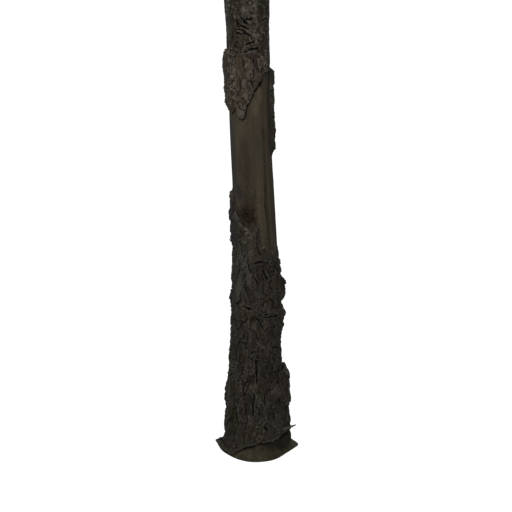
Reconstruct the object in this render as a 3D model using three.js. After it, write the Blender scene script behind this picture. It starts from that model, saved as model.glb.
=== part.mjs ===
// A standing dead conifer trunk: bare wood with a root flare and a snapped top, and the slabs of
// bark that still cling to it. Millimetres, +Z up, origin on the flat cut under the root flare.
// Angles run round the trunk in degrees: 0 is the front (-Y), 90 the right (+X), 180 the back.
import * as THREE from 'three';

// ---- Driving dimensions ----

// Wood above the root flare: height, radius and centreline offset of each station.
const STATIONS = [
  { z: 0, r: 118, x: 4, y: 0 },
  { z: 300, r: 118, x: 5, y: 0 },
  { z: 600, r: 118, x: 3, y: 2 },
  { z: 900, r: 118.5, x: 3, y: 4 },
  { z: 1120, r: 118.5, x: 3, y: 5 },
  { z: 1300, r: 115, x: -3, y: 4 },
  { z: 1530, r: 111, x: -14, y: 2 },
  { z: 1720, r: 108, x: -24, y: 0 },
  { z: 1900, r: 107, x: -31, y: -2 },
  { z: 2100, r: 104, x: -37, y: -2 },
  { z: 2350, r: 99, x: -43, y: 0 },
  { z: 2500, r: 104, x: -48, y: 3 },
  { z: 2950, r: 98, x: -60, y: 8 },
];

// Root flare: how far each part reaches out at the ground and how fast it fades upwards.
const FLARE = { reach: 78, height: 280 };
const FOOT_LIP = { reach: 36, height: 20 };
const ROOT_LOBES = [
  { waves: 2, at: 90, size: 5 },
  { waves: 3, at: 82, size: 4 },
  { waves: 5, at: 12, size: 4 },
];
const LOBE_HEIGHT = 120;
const SHAFT_WAVES = [
  { waves: 2, size: 1.6, turn: 0.0011 },
  { waves: 3, size: 1.1, turn: -0.0017 },
];

// The snapped top: a jagged rim, one tall tongue of wood left on it at the back, and a hollow
// towards the pith.
const RIM_HEIGHT = 2640;
const SPLINTERS = [
  { at: 160, width: 40, rise: 280 },
  { at: -112, width: 17, rise: 80 },
  { at: -38, width: 19, rise: 58 },
  { at: 12, width: 12, rise: 34 },
  { at: 62, width: 15, rise: 66 },
];
const HOLLOW_DEPTH = 55;
const HOLLOW_RINGS = [0.8, 0.55, 0.28];
const HOLLOW_JAG = 8;

// Mesh fineness of the trunk.
const TRUNK_SIDES = 36;
const FOOT_ROWS = [0, 4, 9, 15, 22, 31, 42, 57, 78, 106, 142, 190, 250, 325, 415, 520];
const SHAFT_TOP = 2500;
const SHAFT_ROW = 82;
const RIM_ROWS = 3;

// Bark: clearance to the wood, joint between neighbouring slabs, and mesh fineness.
const CLEARANCE = 1.1;
const JOINT = 7;
const COLUMN_ANGLE = 10.5;
const ROW_HEIGHT = 78;
const FOOT_ROW_POWER = 1.5;
const FOOT_EXTRA = 2;
const LIFT_POWER = 4;
const EDGE_THICKNESS = 0.62;
const PLATE_RELIEF = 0.16;
const RAGGED = [
  { size: 7, round: 7, up: 1 / 160 },
  { size: 4, round: 13, up: -1 / 90 },
];
const WAVER = { size: 1.4, round: 2, up: 1 / 75 };

// Heights of the joints that run round the trunk between one slab and the next.
const LOW_JOINT = 470;
const MID_JOINT = 862;
const LOOSE_TOP = 508;
const LEFT_FOOT_TOP = 210;
const LEFT_MID_TOP = 918;
const BACK_JOINT = 590;
const BRIDGE_FOOT = 1250;
const BRIDGE_TOP = 1934;
const UPPER_TOP = 2250;

// Every slab: angles it spans, lower and upper edge (one height, or several spread evenly from its
// left side to its right), and thickness (one, or several from bottom to top). curl is how far the
// lower edge lifts off the wood, leanOut how far the right-hand end does, and foot marks a slab that
// follows the root flare and so has a finer mesh.
const THICK_BARK = [
  { name: 'bark_front_low', from: -40, to: 35, bottom: [52, 86, 104, 124], top: LOW_JOINT,
    thickness: 24, curl: 8, foot: true },
  { name: 'bark_front_mid', from: -40, to: 35, bottom: LOW_JOINT, top: MID_JOINT, thickness: 24 },
  { name: 'bark_front_top', from: -40, to: 10, bottom: MID_JOINT, top: 1276,
    thickness: [24, 20, 14] },
  { name: 'bark_front_shoulder', from: 12, to: 60, bottom: MID_JOINT, top: [1160, 1162, 1150],
    thickness: [24, 22, 16] },
  { name: 'bark_front_chip', from: -17, to: 11, bottom: 1276, top: [1300, 1382, 1345, 1300],
    thickness: 12 },
  { name: 'bark_left_foot', from: -126, to: -42, bottom: 14, top: LEFT_FOOT_TOP,
    thickness: [9, 18, 24, 26], curl: 12, foot: true },
  { name: 'bark_left_low', from: -126, to: -42, bottom: LEFT_FOOT_TOP, top: LOW_JOINT,
    thickness: [38, 46, 40] },
  { name: 'bark_left_mid', from: -126, to: -42, bottom: LOW_JOINT, top: LEFT_MID_TOP,
    thickness: [30, 26, 20] },
  { name: 'bark_left_top', from: -126, to: -42, bottom: LEFT_MID_TOP,
    top: [1490, 1536, 1530, 1425, 1350], thickness: [18, 14, 17, 20] },
  { name: 'bark_right_front', from: 37, to: 64, bottom: [130, 126], top: MID_JOINT,
    thickness: [28, 24, 22] },
  { name: 'bark_right_loose', from: 66, to: 118, bottom: [128, 112, 90], top: LOOSE_TOP,
    thickness: [30, 34, 44, 42], curl: 6, foot: true },
  { name: 'bark_right_mid', from: 66, to: 118, bottom: LOOSE_TOP, top: 706, thickness: 15 },
  { name: 'bark_right_plate', from: 66, to: 118, bottom: 706, top: MID_JOINT, thickness: 36 },
  { name: 'bark_right_bulge', from: 62, to: 118, bottom: MID_JOINT, top: [1148, 1144, 1120],
    thickness: [28, 42, 24, 14] },
  { name: 'bark_back_low', from: 120, to: 174, bottom: [60, 28], top: BACK_JOINT,
    thickness: 27, curl: 6, foot: true },
  { name: 'bark_back_left_low', from: 176, to: 232, bottom: [26, 16], top: BACK_JOINT,
    thickness: 26, curl: 6, foot: true },
  { name: 'bark_back_high', from: 120, to: 174, bottom: BACK_JOINT,
    top: [1130, 1190, BRIDGE_FOOT, BRIDGE_FOOT], thickness: 24 },
  { name: 'bark_back_left_high', from: 176, to: 232, bottom: BACK_JOINT,
    top: [BRIDGE_FOOT, BRIDGE_FOOT, 1360, 1480], thickness: 22 },
  { name: 'bark_back_bridge', from: 156, to: 192, bottom: BRIDGE_FOOT, top: BRIDGE_TOP,
    thickness: 21 },
  { name: 'bark_upper_front', from: -62, to: 40,
    bottom: [1948, 1951, 1918, 1953, 2056, 2086, 2140], top: UPPER_TOP, thickness: [16, 20, 16] },
  { name: 'bark_upper_left', from: -126, to: -64, bottom: [1990, 1962, 1948], top: UPPER_TOP,
    thickness: [17, 20, 22] },
  { name: 'bark_upper_right', from: 42, to: 66, bottom: [2146, 2164], top: [2222, 2198],
    thickness: 16 },
  { name: 'bark_strip_right', from: 68, to: 128, bottom: [1722, 1740], top: 2176,
    thickness: [18, 18, 24] },
  { name: 'bark_upper_back', from: 130, to: 232,
    bottom: [BRIDGE_TOP, BRIDGE_TOP, BRIDGE_TOP, 1990], top: [2236, UPPER_TOP], thickness: 21 },
];
const THIN_BARK = [
  { name: 'inner_bark_front', from: 13, to: 78, bottom: [1172, 1174, 1160],
    top: [1238, 1240, 1236, 1212], thickness: 4.5 },
  { name: 'inner_bark_upper_front', from: -89, to: 41, bottom: UPPER_TOP,
    top: [2600, 2622, 2596, 2612], thickness: 6 },
  { name: 'inner_bark_upper_right', from: 43, to: 129, bottom: [2240, 2206, 2186, 2182],
    top: [2614, 2590, 2618], thickness: 6 },
  { name: 'inner_bark_upper_back', from: 131, to: 269, bottom: UPPER_TOP,
    top: [2620, 2600, 2624, 2598], thickness: 6 },
];
const KNOTS = [
  { name: 'knot_front', from: -37, to: -7, bottom: [1418, 1396, 1392, 1398, 1418],
    top: [1432, 1452, 1458, 1450, 1432], thickness: 7 },
  { name: 'knot_back', from: 100, to: 128, bottom: [1568, 1548, 1544, 1550, 1568],
    top: [1582, 1602, 1606, 1600, 1582], thickness: 8 },
];
const FOOT_SPLINTER = { name: 'bark_foot_splinter', from: 42, to: 84, bottom: [96, 84, 84],
  top: [112, 108, 98], thickness: 7, leanOut: 30 };

// ---- Shape of the trunk ----

const DEGREE = Math.PI / 180;

// Smooth value of one station property at a height.
function station(z, key) {
  const last = STATIONS.length - 1;
  const above = STATIONS.findIndex((entry) => entry.z > z);
  const i = above < 0 ? last : Math.max(above, 1);
  const a = STATIONS[i - 1];
  const b = STATIONS[i];
  const before = STATIONS[Math.max(i - 2, 0)];
  const after = STATIONS[Math.min(i + 1, last)];
  const span = b.z - a.z;
  const t = (z - a.z) / span;
  const slopeA = ((b[key] - before[key]) / (b.z - before.z)) * span;
  const slopeB = ((after[key] - a[key]) / (after.z - a.z)) * span;
  const rise = t * t * (3 - 2 * t);
  return a[key] * (1 - rise) + b[key] * rise
    + slopeA * t * (1 - t) * (1 - t) - slopeB * t * t * (1 - t);
}

function waves(list, phi, z) {
  return list.reduce((sum, wave) =>
    sum + wave.size * Math.cos(wave.waves * (phi - (wave.at ?? 0) * DEGREE) + (wave.turn ?? 0) * z), 0);
}

function woodRadius(phi, z) {
  const flare = FLARE.reach * Math.exp(-z / FLARE.height)
    + FOOT_LIP.reach * Math.exp(-z / FOOT_LIP.height);
  const lobes = waves(ROOT_LOBES, phi, 0) * Math.exp(-z / LOBE_HEIGHT);
  return station(z, 'r') + flare + lobes + waves(SHAFT_WAVES, phi, z);
}

// Point at an angle, a height and a distance from the trunk's own centreline.
function around(phi, z, radius) {
  return new THREE.Vector3(
    station(z, 'x') + radius * Math.sin(phi),
    station(z, 'y') - radius * Math.cos(phi),
    z,
  );
}

// Smallest turn between two angles, in degrees.
function turnBetween(a, b) {
  return Math.abs(((a - b + 540) % 360) - 180);
}

function splinterRise(phi) {
  return SPLINTERS.reduce((sum, { at, width, rise }) => {
    const away = turnBetween(phi / DEGREE + 360, at) / width;
    return sum + rise * Math.exp(-away * away);
  }, 0);
}

// ---- Closed meshes ----

function solid(points, triangles) {
  const geometry = new THREE.BufferGeometry();
  const positions = points.flatMap((point) => point.toArray());
  geometry.setAttribute('position', new THREE.Float32BufferAttribute(positions, 3));
  geometry.setIndex(triangles);
  geometry.computeVertexNormals();
  return geometry;
}

// Two triangles over the corners a, b, c, d, which run anticlockwise seen from outside.
function quad(a, b, c, d) {
  return [a, b, c, a, c, d];
}

// A stack of rings, closed by one point below the first and one above the last.
function ringStack(rings, bottomCentre, topCentre) {
  const sides = rings[0].length;
  const points = [...rings.flat(), bottomCentre, topCentre];
  const bottom = points.length - 2;
  const top = points.length - 1;
  const lastRing = (rings.length - 1) * sides;
  const triangles = [];
  for (let side = 0; side < sides; side += 1) {
    const next = (side + 1) % sides;
    for (let ring = 0; ring < rings.length - 1; ring += 1) {
      const low = ring * sides;
      const high = low + sides;
      triangles.push(...quad(low + side, low + next, high + next, high + side));
    }
    triangles.push(bottom, next, side);
    triangles.push(top, lastRing + side, lastRing + next);
  }
  return solid(points, triangles);
}

// A curved slab between an outer and an inner grid of points, with walls along its four sides.
function slabBetween(outer, inner) {
  const rows = outer.length - 1;
  const columns = outer[0].length - 1;
  const points = [...outer.flat(), ...inner.flat()];
  const out = (row, column) => row * (columns + 1) + column;
  const back = (row, column) => out(row, column) + points.length / 2;
  const triangles = [];
  for (let row = 0; row < rows; row += 1) {
    for (let column = 0; column < columns; column += 1) {
      const right = column + 1;
      triangles.push(...quad(out(row, column), out(row, right), out(row + 1, right), out(row + 1, column)));
      triangles.push(...quad(back(row, right), back(row, column), back(row + 1, column),
        back(row + 1, right)));
    }
    triangles.push(...quad(out(row, columns), back(row, columns), back(row + 1, columns),
      out(row + 1, columns)));
    triangles.push(...quad(back(row, 0), out(row, 0), out(row + 1, 0), back(row + 1, 0)));
  }
  for (let column = 0; column < columns; column += 1) {
    const right = column + 1;
    triangles.push(...quad(back(0, column), back(0, right), out(0, right), out(0, column)));
    triangles.push(...quad(out(rows, column), out(rows, right), back(rows, right), back(rows, column)));
  }
  return solid(points, triangles);
}

// ---- Trunk ----

function trunkGeometry() {
  const angles = Array.from({ length: TRUNK_SIDES }, (_, i) => ((i * 360) / TRUNK_SIDES) * DEGREE);
  const lastFootRow = FOOT_ROWS[FOOT_ROWS.length - 1];
  const shaftRows = Math.round((SHAFT_TOP - lastFootRow) / SHAFT_ROW);
  const heights = [...FOOT_ROWS];
  for (let row = 1; row <= shaftRows; row += 1) {
    heights.push(lastFootRow + ((SHAFT_TOP - lastFootRow) * row) / shaftRows);
  }
  const rings = heights.map((z) => angles.map((phi) => around(phi, z, woodRadius(phi, z))));
  const rim = (phi) => RIM_HEIGHT + splinterRise(phi);
  for (let row = 1; row <= RIM_ROWS; row += 1) {
    rings.push(angles.map((phi) => {
      const z = SHAFT_TOP + ((rim(phi) - SHAFT_TOP) * row) / RIM_ROWS;
      return around(phi, z, woodRadius(phi, z));
    }));
  }
  for (const ring of HOLLOW_RINGS) {
    rings.push(angles.map((phi, i) => {
      const jag = (i % 2 ? 1 : -1) * HOLLOW_JAG * ring;
      const z = RIM_HEIGHT + splinterRise(phi) * ring * ring * ring - HOLLOW_DEPTH * (1 - ring) + jag;
      return around(phi, z, woodRadius(phi, z) * ring);
    }));
  }
  const pith = around(0, RIM_HEIGHT - HOLLOW_DEPTH, 0);
  return ringStack(rings, around(0, 0, 0), pith);
}

// ---- Bark ----

// Value of a list of numbers spread evenly over 0 to 1, or of a single number.
function spread(values, share) {
  if (!Array.isArray(values)) return values;
  const place = share * (values.length - 1);
  const i = Math.min(Math.floor(place), values.length - 2);
  return THREE.MathUtils.lerp(values[i], values[i + 1], place - i);
}

function plateRelief(phi, z) {
  return Math.sin(9 * phi + z / 150) * Math.cos(z / 55 + 3 * phi);
}

// Angle and height after the common waver, which keeps neighbouring slabs apart by an even joint.
function wavered(phi, z) {
  const ragged = RAGGED.reduce((sum, { size, round, up }) =>
    sum + size * Math.sin(round * phi + z * up), 0);
  const nearGround = Math.min(1, z / LEFT_FOOT_TOP);
  const sideways = WAVER.size * DEGREE * Math.sin(z * WAVER.up + WAVER.round * phi);
  return { phi: phi + sideways, z: z + ragged * nearGround };
}

function barkGeometry(slab) {
  const { from, to, bottom, top, thickness, curl = 0, leanOut = 0, foot = false } = slab;
  const tallest = Math.max(...[top].flat()) - Math.min(...[bottom].flat());
  const columns = Math.ceil((to - from) / COLUMN_ANGLE) + (foot ? FOOT_EXTRA : 0);
  const rows = Math.max(2, Math.ceil(tallest / ROW_HEIGHT)) + (foot ? FOOT_EXTRA : 0);
  const outer = [];
  const inner = [];
  for (let row = 0; row <= rows; row += 1) {
    const up = (row / rows) ** (foot ? FOOT_ROW_POWER : 1);
    const outerRow = [];
    const innerRow = [];
    for (let column = 0; column <= columns; column += 1) {
      const across = column / columns;
      const low = spread(bottom, across) + JOINT / 2;
      const high = spread(top, across) - JOINT / 2;
      const flat = { phi: THREE.MathUtils.lerp(from, to, across) * DEGREE, z: low + (high - low) * up };
      const { phi, z } = wavered(flat.phi, flat.z);
      const atEdge = row === 0 || row === rows || column === 0 || column === columns;
      const taper = atEdge ? EDGE_THICKNESS : 1 + PLATE_RELIEF * plateRelief(phi, z);
      const lift = curl * (1 - up) ** LIFT_POWER + leanOut * across ** LIFT_POWER;
      const seat = woodRadius(phi, z) + CLEARANCE + lift;
      innerRow.push(around(phi, z, seat));
      outerRow.push(around(phi, z, seat + spread(thickness, up) * taper));
    }
    outer.push(outerRow);
    inner.push(innerRow);
  }
  return slabBetween(outer, inner);
}

// ---- The assembly ----

function add(group, name, geometry, color, roughness) {
  const material = new THREE.MeshStandardMaterial({ color, roughness, metalness: 0 });
  const mesh = new THREE.Mesh(geometry, material);
  mesh.name = name;
  group.add(mesh);
}

const WOOD_COLOR = 0x5a5142;
const BARK_COLOR = 0x45392f;
const INNER_BARK_COLOR = 0x54483b;
const KNOT_COLOR = 0x3c2b20;

const tree = new THREE.Group();
add(tree, 'trunk_wood', trunkGeometry(), WOOD_COLOR, 0.8);
for (const slab of [...THICK_BARK, FOOT_SPLINTER]) {
  add(tree, slab.name, barkGeometry(slab), BARK_COLOR, 0.95);
}
for (const slab of THIN_BARK) {
  add(tree, slab.name, barkGeometry(slab), INNER_BARK_COLOR, 0.95);
}
for (const knot of KNOTS) {
  add(tree, knot.name, barkGeometry(knot), KNOT_COLOR, 0.9);
}

export default tree;
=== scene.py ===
"""A standing dead conifer trunk: bare weathered wood, thick fissured bark that has partly fallen off,
thin inner bark, a lobed root flare and a snapped top. Metres, +Z up, origin under the root flare.

Angles run round the trunk in degrees: 0 is the front (-Y), 90 the right (+X), 180 the back.
Every surface is a relief over the trunk's own angle and height, worked out with numpy."""

import math
from collections import namedtuple
from itertools import product

import bpy
import numpy as np
from bpy.props import FloatProperty, FloatVectorProperty, IntProperty, PointerProperty
from bpy.types import Operator, Panel, PropertyGroup
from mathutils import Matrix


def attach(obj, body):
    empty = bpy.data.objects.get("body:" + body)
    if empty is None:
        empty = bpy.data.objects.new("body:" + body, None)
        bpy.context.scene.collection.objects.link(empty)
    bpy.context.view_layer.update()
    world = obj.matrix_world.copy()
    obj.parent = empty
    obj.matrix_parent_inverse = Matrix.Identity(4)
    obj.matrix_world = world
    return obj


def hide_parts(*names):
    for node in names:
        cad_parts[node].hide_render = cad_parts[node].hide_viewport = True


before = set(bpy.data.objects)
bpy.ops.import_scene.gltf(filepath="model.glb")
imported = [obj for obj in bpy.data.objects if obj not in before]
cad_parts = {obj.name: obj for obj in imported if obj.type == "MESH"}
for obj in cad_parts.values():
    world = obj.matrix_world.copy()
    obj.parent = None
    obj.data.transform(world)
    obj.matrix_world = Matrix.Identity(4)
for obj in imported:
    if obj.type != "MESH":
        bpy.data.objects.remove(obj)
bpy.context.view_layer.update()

bl_info = {
    "name": "Standing Dead Trunk",
    "version": (1, 0, 0),
    "blender": (4, 5, 0),
    "location": "3D View > Sidebar > Dead Trunk",
    "description": "Builds a dead conifer trunk with fissured bark, bare wood and a snapped top",
    "category": "Add Mesh",
}

BODY = "root"
TURN = 2 * math.pi

# ---- The trunk's shape, as the CAD model has it ----

Station = namedtuple("Station", "z radius x y")
STATIONS = [
    Station(0.0, 0.118, 0.004, 0.0),
    Station(0.3, 0.118, 0.005, 0.0),
    Station(0.6, 0.118, 0.003, 0.002),
    Station(0.9, 0.1185, 0.003, 0.004),
    Station(1.12, 0.1185, 0.003, 0.005),
    Station(1.3, 0.115, -0.003, 0.004),
    Station(1.53, 0.111, -0.014, 0.002),
    Station(1.72, 0.108, -0.024, 0.0),
    Station(1.9, 0.107, -0.031, -0.002),
    Station(2.1, 0.104, -0.037, -0.002),
    Station(2.35, 0.099, -0.043, 0.0),
    Station(2.5, 0.104, -0.048, 0.003),
    Station(2.95, 0.098, -0.060, 0.008),
]
PROFILE = {key: np.array([getattr(s, key) for s in STATIONS]) for key in Station._fields}
Wave = namedtuple("Wave", "waves size at turn")
FLARE_REACH, FLARE_HEIGHT = 0.078, 0.28
LIP_REACH, LIP_HEIGHT = 0.036, 0.02
ROOT_LOBES = [Wave(2, 0.005, 90, 0), Wave(3, 0.004, 82, 0), Wave(5, 0.004, 12, 0)]
LOBE_HEIGHT = 0.12
SHAFT_WAVES = [Wave(2, 0.0016, 0, 1.1), Wave(3, 0.0011, 0, -1.7)]
BARK_RADIUS = 0.145
Dent = namedtuple("Dent", "at z half_angle half_height depth")
FOOT_DENTS = [
    Dent(88, 0.060, 21, 0.026, -0.017),
    Dent(56, 0.0, 20, 0.020, 0.011),
    Dent(-50, 0.0, 20, 0.022, 0.014),
    Dent(10, 0.0, 12, 0.020, 0.004),
    Dent(82, 0.0, 8, 0.009, -0.013),
    Dent(103, 0.0, 13, 0.030, 0.026),
    Dent(-108, 0.0, 12, 0.040, 0.018),
]

RIM_HEIGHT = 2.64
Tongue = namedtuple("Tongue", "at width rise")
TONGUES = [
    Tongue(160, 40, 0.275),
    Tongue(-112, 17, 0.08),
    Tongue(-38, 19, 0.058),
    Tongue(12, 12, 0.034),
    Tongue(62, 15, 0.066),
]
HOLLOW_DEPTH = 0.06


def along(key, z):
    """Smooth value of one station property at each height."""
    z = np.asarray(z, float)
    heights, values = PROFILE["z"], PROFILE[key]
    last = len(heights) - 1
    b = np.clip(np.searchsorted(heights, z, side="right"), 1, last)
    a, before, after = b - 1, np.maximum(b - 2, 0), np.minimum(b + 1, last)
    span = heights[b] - heights[a]
    t = (z - heights[a]) / span
    slope_a = (values[b] - values[before]) / (heights[b] - heights[before]) * span
    slope_b = (values[after] - values[a]) / (heights[after] - heights[a]) * span
    rise = t * t * (3 - 2 * t)
    bend = slope_a * t * (1 - t) ** 2 - slope_b * t * t * (1 - t)
    return values[a] * (1 - rise) + values[b] * rise + bend


def turn_from(phi, degrees):
    """Signed angle from a direction, in radians, from -pi to pi."""
    return (phi - math.radians(degrees) + math.pi) % TURN - math.pi


def waves(items, phi, z):
    return sum(w.size * np.cos(w.waves * (phi - math.radians(w.at)) + w.turn * z) for w in items)


def wood_radius(phi, z):
    flare = FLARE_REACH * np.exp(-z / FLARE_HEIGHT) + LIP_REACH * np.exp(-z / LIP_HEIGHT)
    lobes = waves(ROOT_LOBES, phi, 0) * np.exp(-z / LOBE_HEIGHT)
    for dent in FOOT_DENTS:
        away = (turn_from(phi, dent.at) / math.radians(dent.half_angle)) ** 2
        lobes = lobes - dent.depth * np.exp(-away - ((z - dent.z) / dent.half_height) ** 2)
    return along("radius", z) + flare + lobes + waves(SHAFT_WAVES, phi, z)


def place(phi, z, radius):
    """Points at an angle, a height and a distance from the trunk's own centreline."""
    x = along("x", z) + radius * np.sin(phi)
    y = along("y", z) - radius * np.cos(phi)
    return np.stack([x, y, np.broadcast_to(z, x.shape)], axis=-1)


# ---- Noise that closes on itself round the trunk ----

NOISE_ROWS = 512


def smooth(low, high, value):
    share = np.clip((value - low) / (high - low), 0, 1)
    return share * share * (3 - 2 * share)


def lattice_noise(phi, rows, around, seed):
    """Smooth noise from 0 to 1 on a grid of `around` cells round the trunk; rows counts cells up."""
    table = np.random.default_rng(seed).random((NOISE_ROWS, around))
    x = (phi / TURN % 1.0) * around
    column, row = np.floor(x).astype(int), np.floor(rows).astype(int)
    fx, fy = x - column, rows - row
    fx, fy = fx * fx * (3 - 2 * fx), fy * fy * (3 - 2 * fy)
    left, right = column % around, (column + 1) % around
    low, high = row % NOISE_ROWS, (row + 1) % NOISE_ROWS
    bottom = table[low, left] * (1 - fx) + table[low, right] * fx
    top = table[high, left] * (1 - fx) + table[high, right] * fx
    return bottom * (1 - fy) + top * fy


def fractal(phi, z, size, seed, octaves=3, stretch=1.0):
    """Layered noise from about -1 to 1. size is the width of its largest lumps in metres, and
    stretch how many times taller than wide they are."""
    around = max(3, round(TURN * BARK_RADIUS / size))
    total, weight, share = 0.0, 0.0, 1.0
    for octave in range(octaves):
        scale = 2**octave
        rows = z / (size * stretch) * scale + 17 * octave
        total = total + share * lattice_noise(phi, rows, around * scale, seed + octave)
        weight += share
        share *= 0.55
    return (total / weight - 0.5) * 2.6


CELL_ROWS = 256
JITTER = 0.85
FAR = 1e9
Cells = namedtuple("Cells", "edge upright draw dx dz")


def cells(phi, z, width, length, seed):
    """Irregular plates about width by length: the distance to the nearest joint in metres, three
    random numbers for each plate, and the place within the plate, in plates."""
    around = max(4, round(TURN * BARK_RADIUS / width))
    rng = np.random.default_rng(seed)
    spots = 0.5 + JITTER * (rng.random((CELL_ROWS, around, 2)) - 0.5)
    draws = rng.random((CELL_ROWS, around, 3))
    x, y = (phi / TURN % 1.0) * around, z / length
    column0, row0 = np.floor(x).astype(int), np.floor(y).astype(int)
    near, second = np.full(x.shape, FAR), np.full(x.shape, FAR)
    at, other, draw = (np.zeros(x.shape + (count,)) for count in (2, 2, 3))
    for up, side in product((-1, 0, 1), repeat=2):
        row, column = row0 + up, column0 + side
        spot = spots[row % CELL_ROWS, column % around]
        point = np.stack([column + spot[..., 0], row + spot[..., 1]], axis=-1)
        away = (x - point[..., 0]) ** 2 + (y - point[..., 1]) ** 2
        first = away < near
        next_best = ~first & (away < second)
        other = np.where(first[..., None], at, np.where(next_best[..., None], point, other))
        second = np.where(first, near, np.where(next_best, away, second))
        at = np.where(first[..., None], point, at)
        draw = np.where(first[..., None], draws[row % CELL_ROWS, column % around], draw)
        near = np.where(first, away, near)
    gap = other - at
    apart = np.sqrt((gap**2).sum(axis=-1)) + 1e-9
    to_joint = (second - near) / (2 * apart)
    across, up = gap[..., 0] / apart * width, gap[..., 1] / apart * length
    metres = np.hypot(across, up)
    return Cells(to_joint * metres, np.abs(across) / metres, draw, x - at[..., 0], y - at[..., 1])


def round_the_trunk(table, phi):
    """Value at each angle from (degrees, value) pairs that go once round the trunk."""
    degrees, values = np.array(table, float).T
    degrees = np.concatenate([degrees[-1:] - 360, degrees, degrees[:1] + 360])
    values = np.concatenate([values[-1:], values, values[:1]])
    where = (np.degrees(phi) - degrees[1]) % 360 + degrees[1]
    return np.interp(where, degrees, values)


def steepness(table, phi, degrees):
    """Rise over run of a height that changes round the trunk, over a few degrees to both sides."""
    step = math.radians(degrees)
    rise = round_the_trunk(table, phi + step) - round_the_trunk(table, phi - step)
    return rise / (2 * step * BARK_RADIUS)


def line_distance(phi, z, points):
    """Distance in metres from a broken line of (degrees, height) points on the surface."""
    best = np.full(np.shape(phi), FAR)
    for (deg_a, z_a), (deg_b, z_b) in zip(points, points[1:]):
        x, y = turn_from(phi, deg_a) * BARK_RADIUS, z - z_a
        bx, by = math.radians(deg_b - deg_a) * BARK_RADIUS, z_b - z_a
        share = np.clip((x * bx + y * by) / (bx * bx + by * by + 1e-12), 0, 1)
        best = np.minimum(best, np.hypot(x - share * bx, y - share * by))
    return best


def blob(phi, z, spot, ragged):
    """1 inside a soft oval patch, 0 outside. ragged is noise that breaks its outline."""
    degrees, height, half_angle, half_height = spot
    away = np.hypot(turn_from(phi, degrees) / math.radians(half_angle), (z - height) / half_height)
    return smooth(1.15, 0.55, away + 0.35 * ragged)


def strongest(phi, z, patches, ragged):
    """The highest strength of some oval patches at each point, and 0 outside all of them."""
    found = np.zeros(phi.shape)
    for strength, *spot in patches:
        found = np.maximum(found, strength * blob(phi, z, spot, ragged))
    return found


# ---- Meshes from numpy arrays ----

MARKS = ("cavity", "tone", "hue", "rough", "edge", "moss", "lichen", "warm", "cool", "crumbs")


def plain_object(name, points, faces):
    """An object of a plain mesh that isn't in the scene yet."""
    mesh = bpy.data.meshes.new(name)
    mesh.from_pydata(points, [], faces)
    mesh.update()
    return bpy.data.objects.new(name, mesh)


def make_mesh(name, points, quads, marks, material):
    """A smooth-shaded object with the marks as attributes. A triangle's fourth corner is -1."""
    mesh = bpy.data.meshes.new(name)
    mesh.vertices.add(len(points))
    mesh.vertices.foreach_set("co", np.ascontiguousarray(points, np.float32).ravel())
    sizes = np.where(quads[:, 3] < 0, 3, 4)
    corners = quads.ravel()
    mesh.loops.add(int(sizes.sum()))
    mesh.loops.foreach_set("vertex_index", corners[corners >= 0].astype(np.int32))
    mesh.polygons.add(len(quads))
    starts = np.concatenate([[0], np.cumsum(sizes)[:-1]])
    mesh.polygons.foreach_set("loop_start", starts.astype(np.int32))
    mesh.polygons.foreach_set("use_smooth", np.full(len(quads), True))
    for key in MARKS:
        mark = mesh.attributes.new(key, "FLOAT", "POINT")
        mark.data.foreach_set("value", np.ascontiguousarray(marks[key], np.float32))
    mesh.update(calc_edges=True)
    mesh.validate()
    mesh.materials.append(material)
    piece = bpy.data.objects.new(name, mesh)
    bpy.context.collection.objects.link(piece)
    return piece


def settle(piece, slot, nodes=()):
    """Ties a piece to the trunk's body and hides the CAD nodes it stands for. slot is not used."""
    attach(piece, BODY)
    if nodes:
        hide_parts(*nodes)


# ---- Sheets of bark ----

Sheet = namedtuple("Sheet", "name nodes slot span sides outline cover seat layers spread cell")
GROUND_CLEARANCE = 0.0008
# For each side of a square: the way to its neighbour, and its two corners.
SQUARE_SIDES = (
    ((-1, 0), (0, 0), (0, 1)),
    ((0, 1), (0, 1), (1, 1)),
    ((1, 0), (1, 1), (1, 0)),
    ((0, -1), (1, 0), (0, 0)),
)


def fill_corners(keep):
    """Fills squares until no two kept squares touch at a corner only."""
    for _ in range(6):
        a, b, c, d = keep[:-1, :-1], keep[:-1, 1:], keep[1:, :-1], keep[1:, 1:]
        rising, falling = a & d & ~b & ~c, b & c & ~a & ~d
        if not (rising.any() or falling.any()):
            return
        b |= rising
        a |= falling


def main_island(keep, gap):
    """The squares joined to the one deepest inside the outline."""
    reached = np.zeros(keep.shape, bool)
    reached.flat[np.argmax(np.where(keep, gap, -1))] = True
    count = 0
    while count != reached.sum():
        count = reached.sum()
        for _ in range(8):
            grown = reached.copy()
            grown[1:] |= reached[:-1]
            grown[:-1] |= reached[1:]
            grown[:, 1:] |= reached[:, :-1]
            grown[:, :-1] |= reached[:, 1:]
            reached = grown & keep
    return reached


def box_mean(values, reach):
    """Mean of each node's neighbours, reach nodes to every side."""
    span = 2 * reach + 1
    for axis in (0, 1):
        width = [(reach, reach) if axis == side else (0, 0) for side in (0, 1)]
        total = np.cumsum(np.pad(values, width, mode="edge"), axis=axis)
        total = np.insert(total, 0, 0.0, axis=axis)
        first = np.arange(values.shape[axis])
        values = (np.take(total, first + span, axis=axis) - np.take(total, first, axis=axis)) / span
    return values


RELIEF_WINDOW = 0.0102
LEAST_WALL = 0.0008
Grid = namedtuple("Grid", "phi z torn_gap keep used rim out_s out_z")


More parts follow.
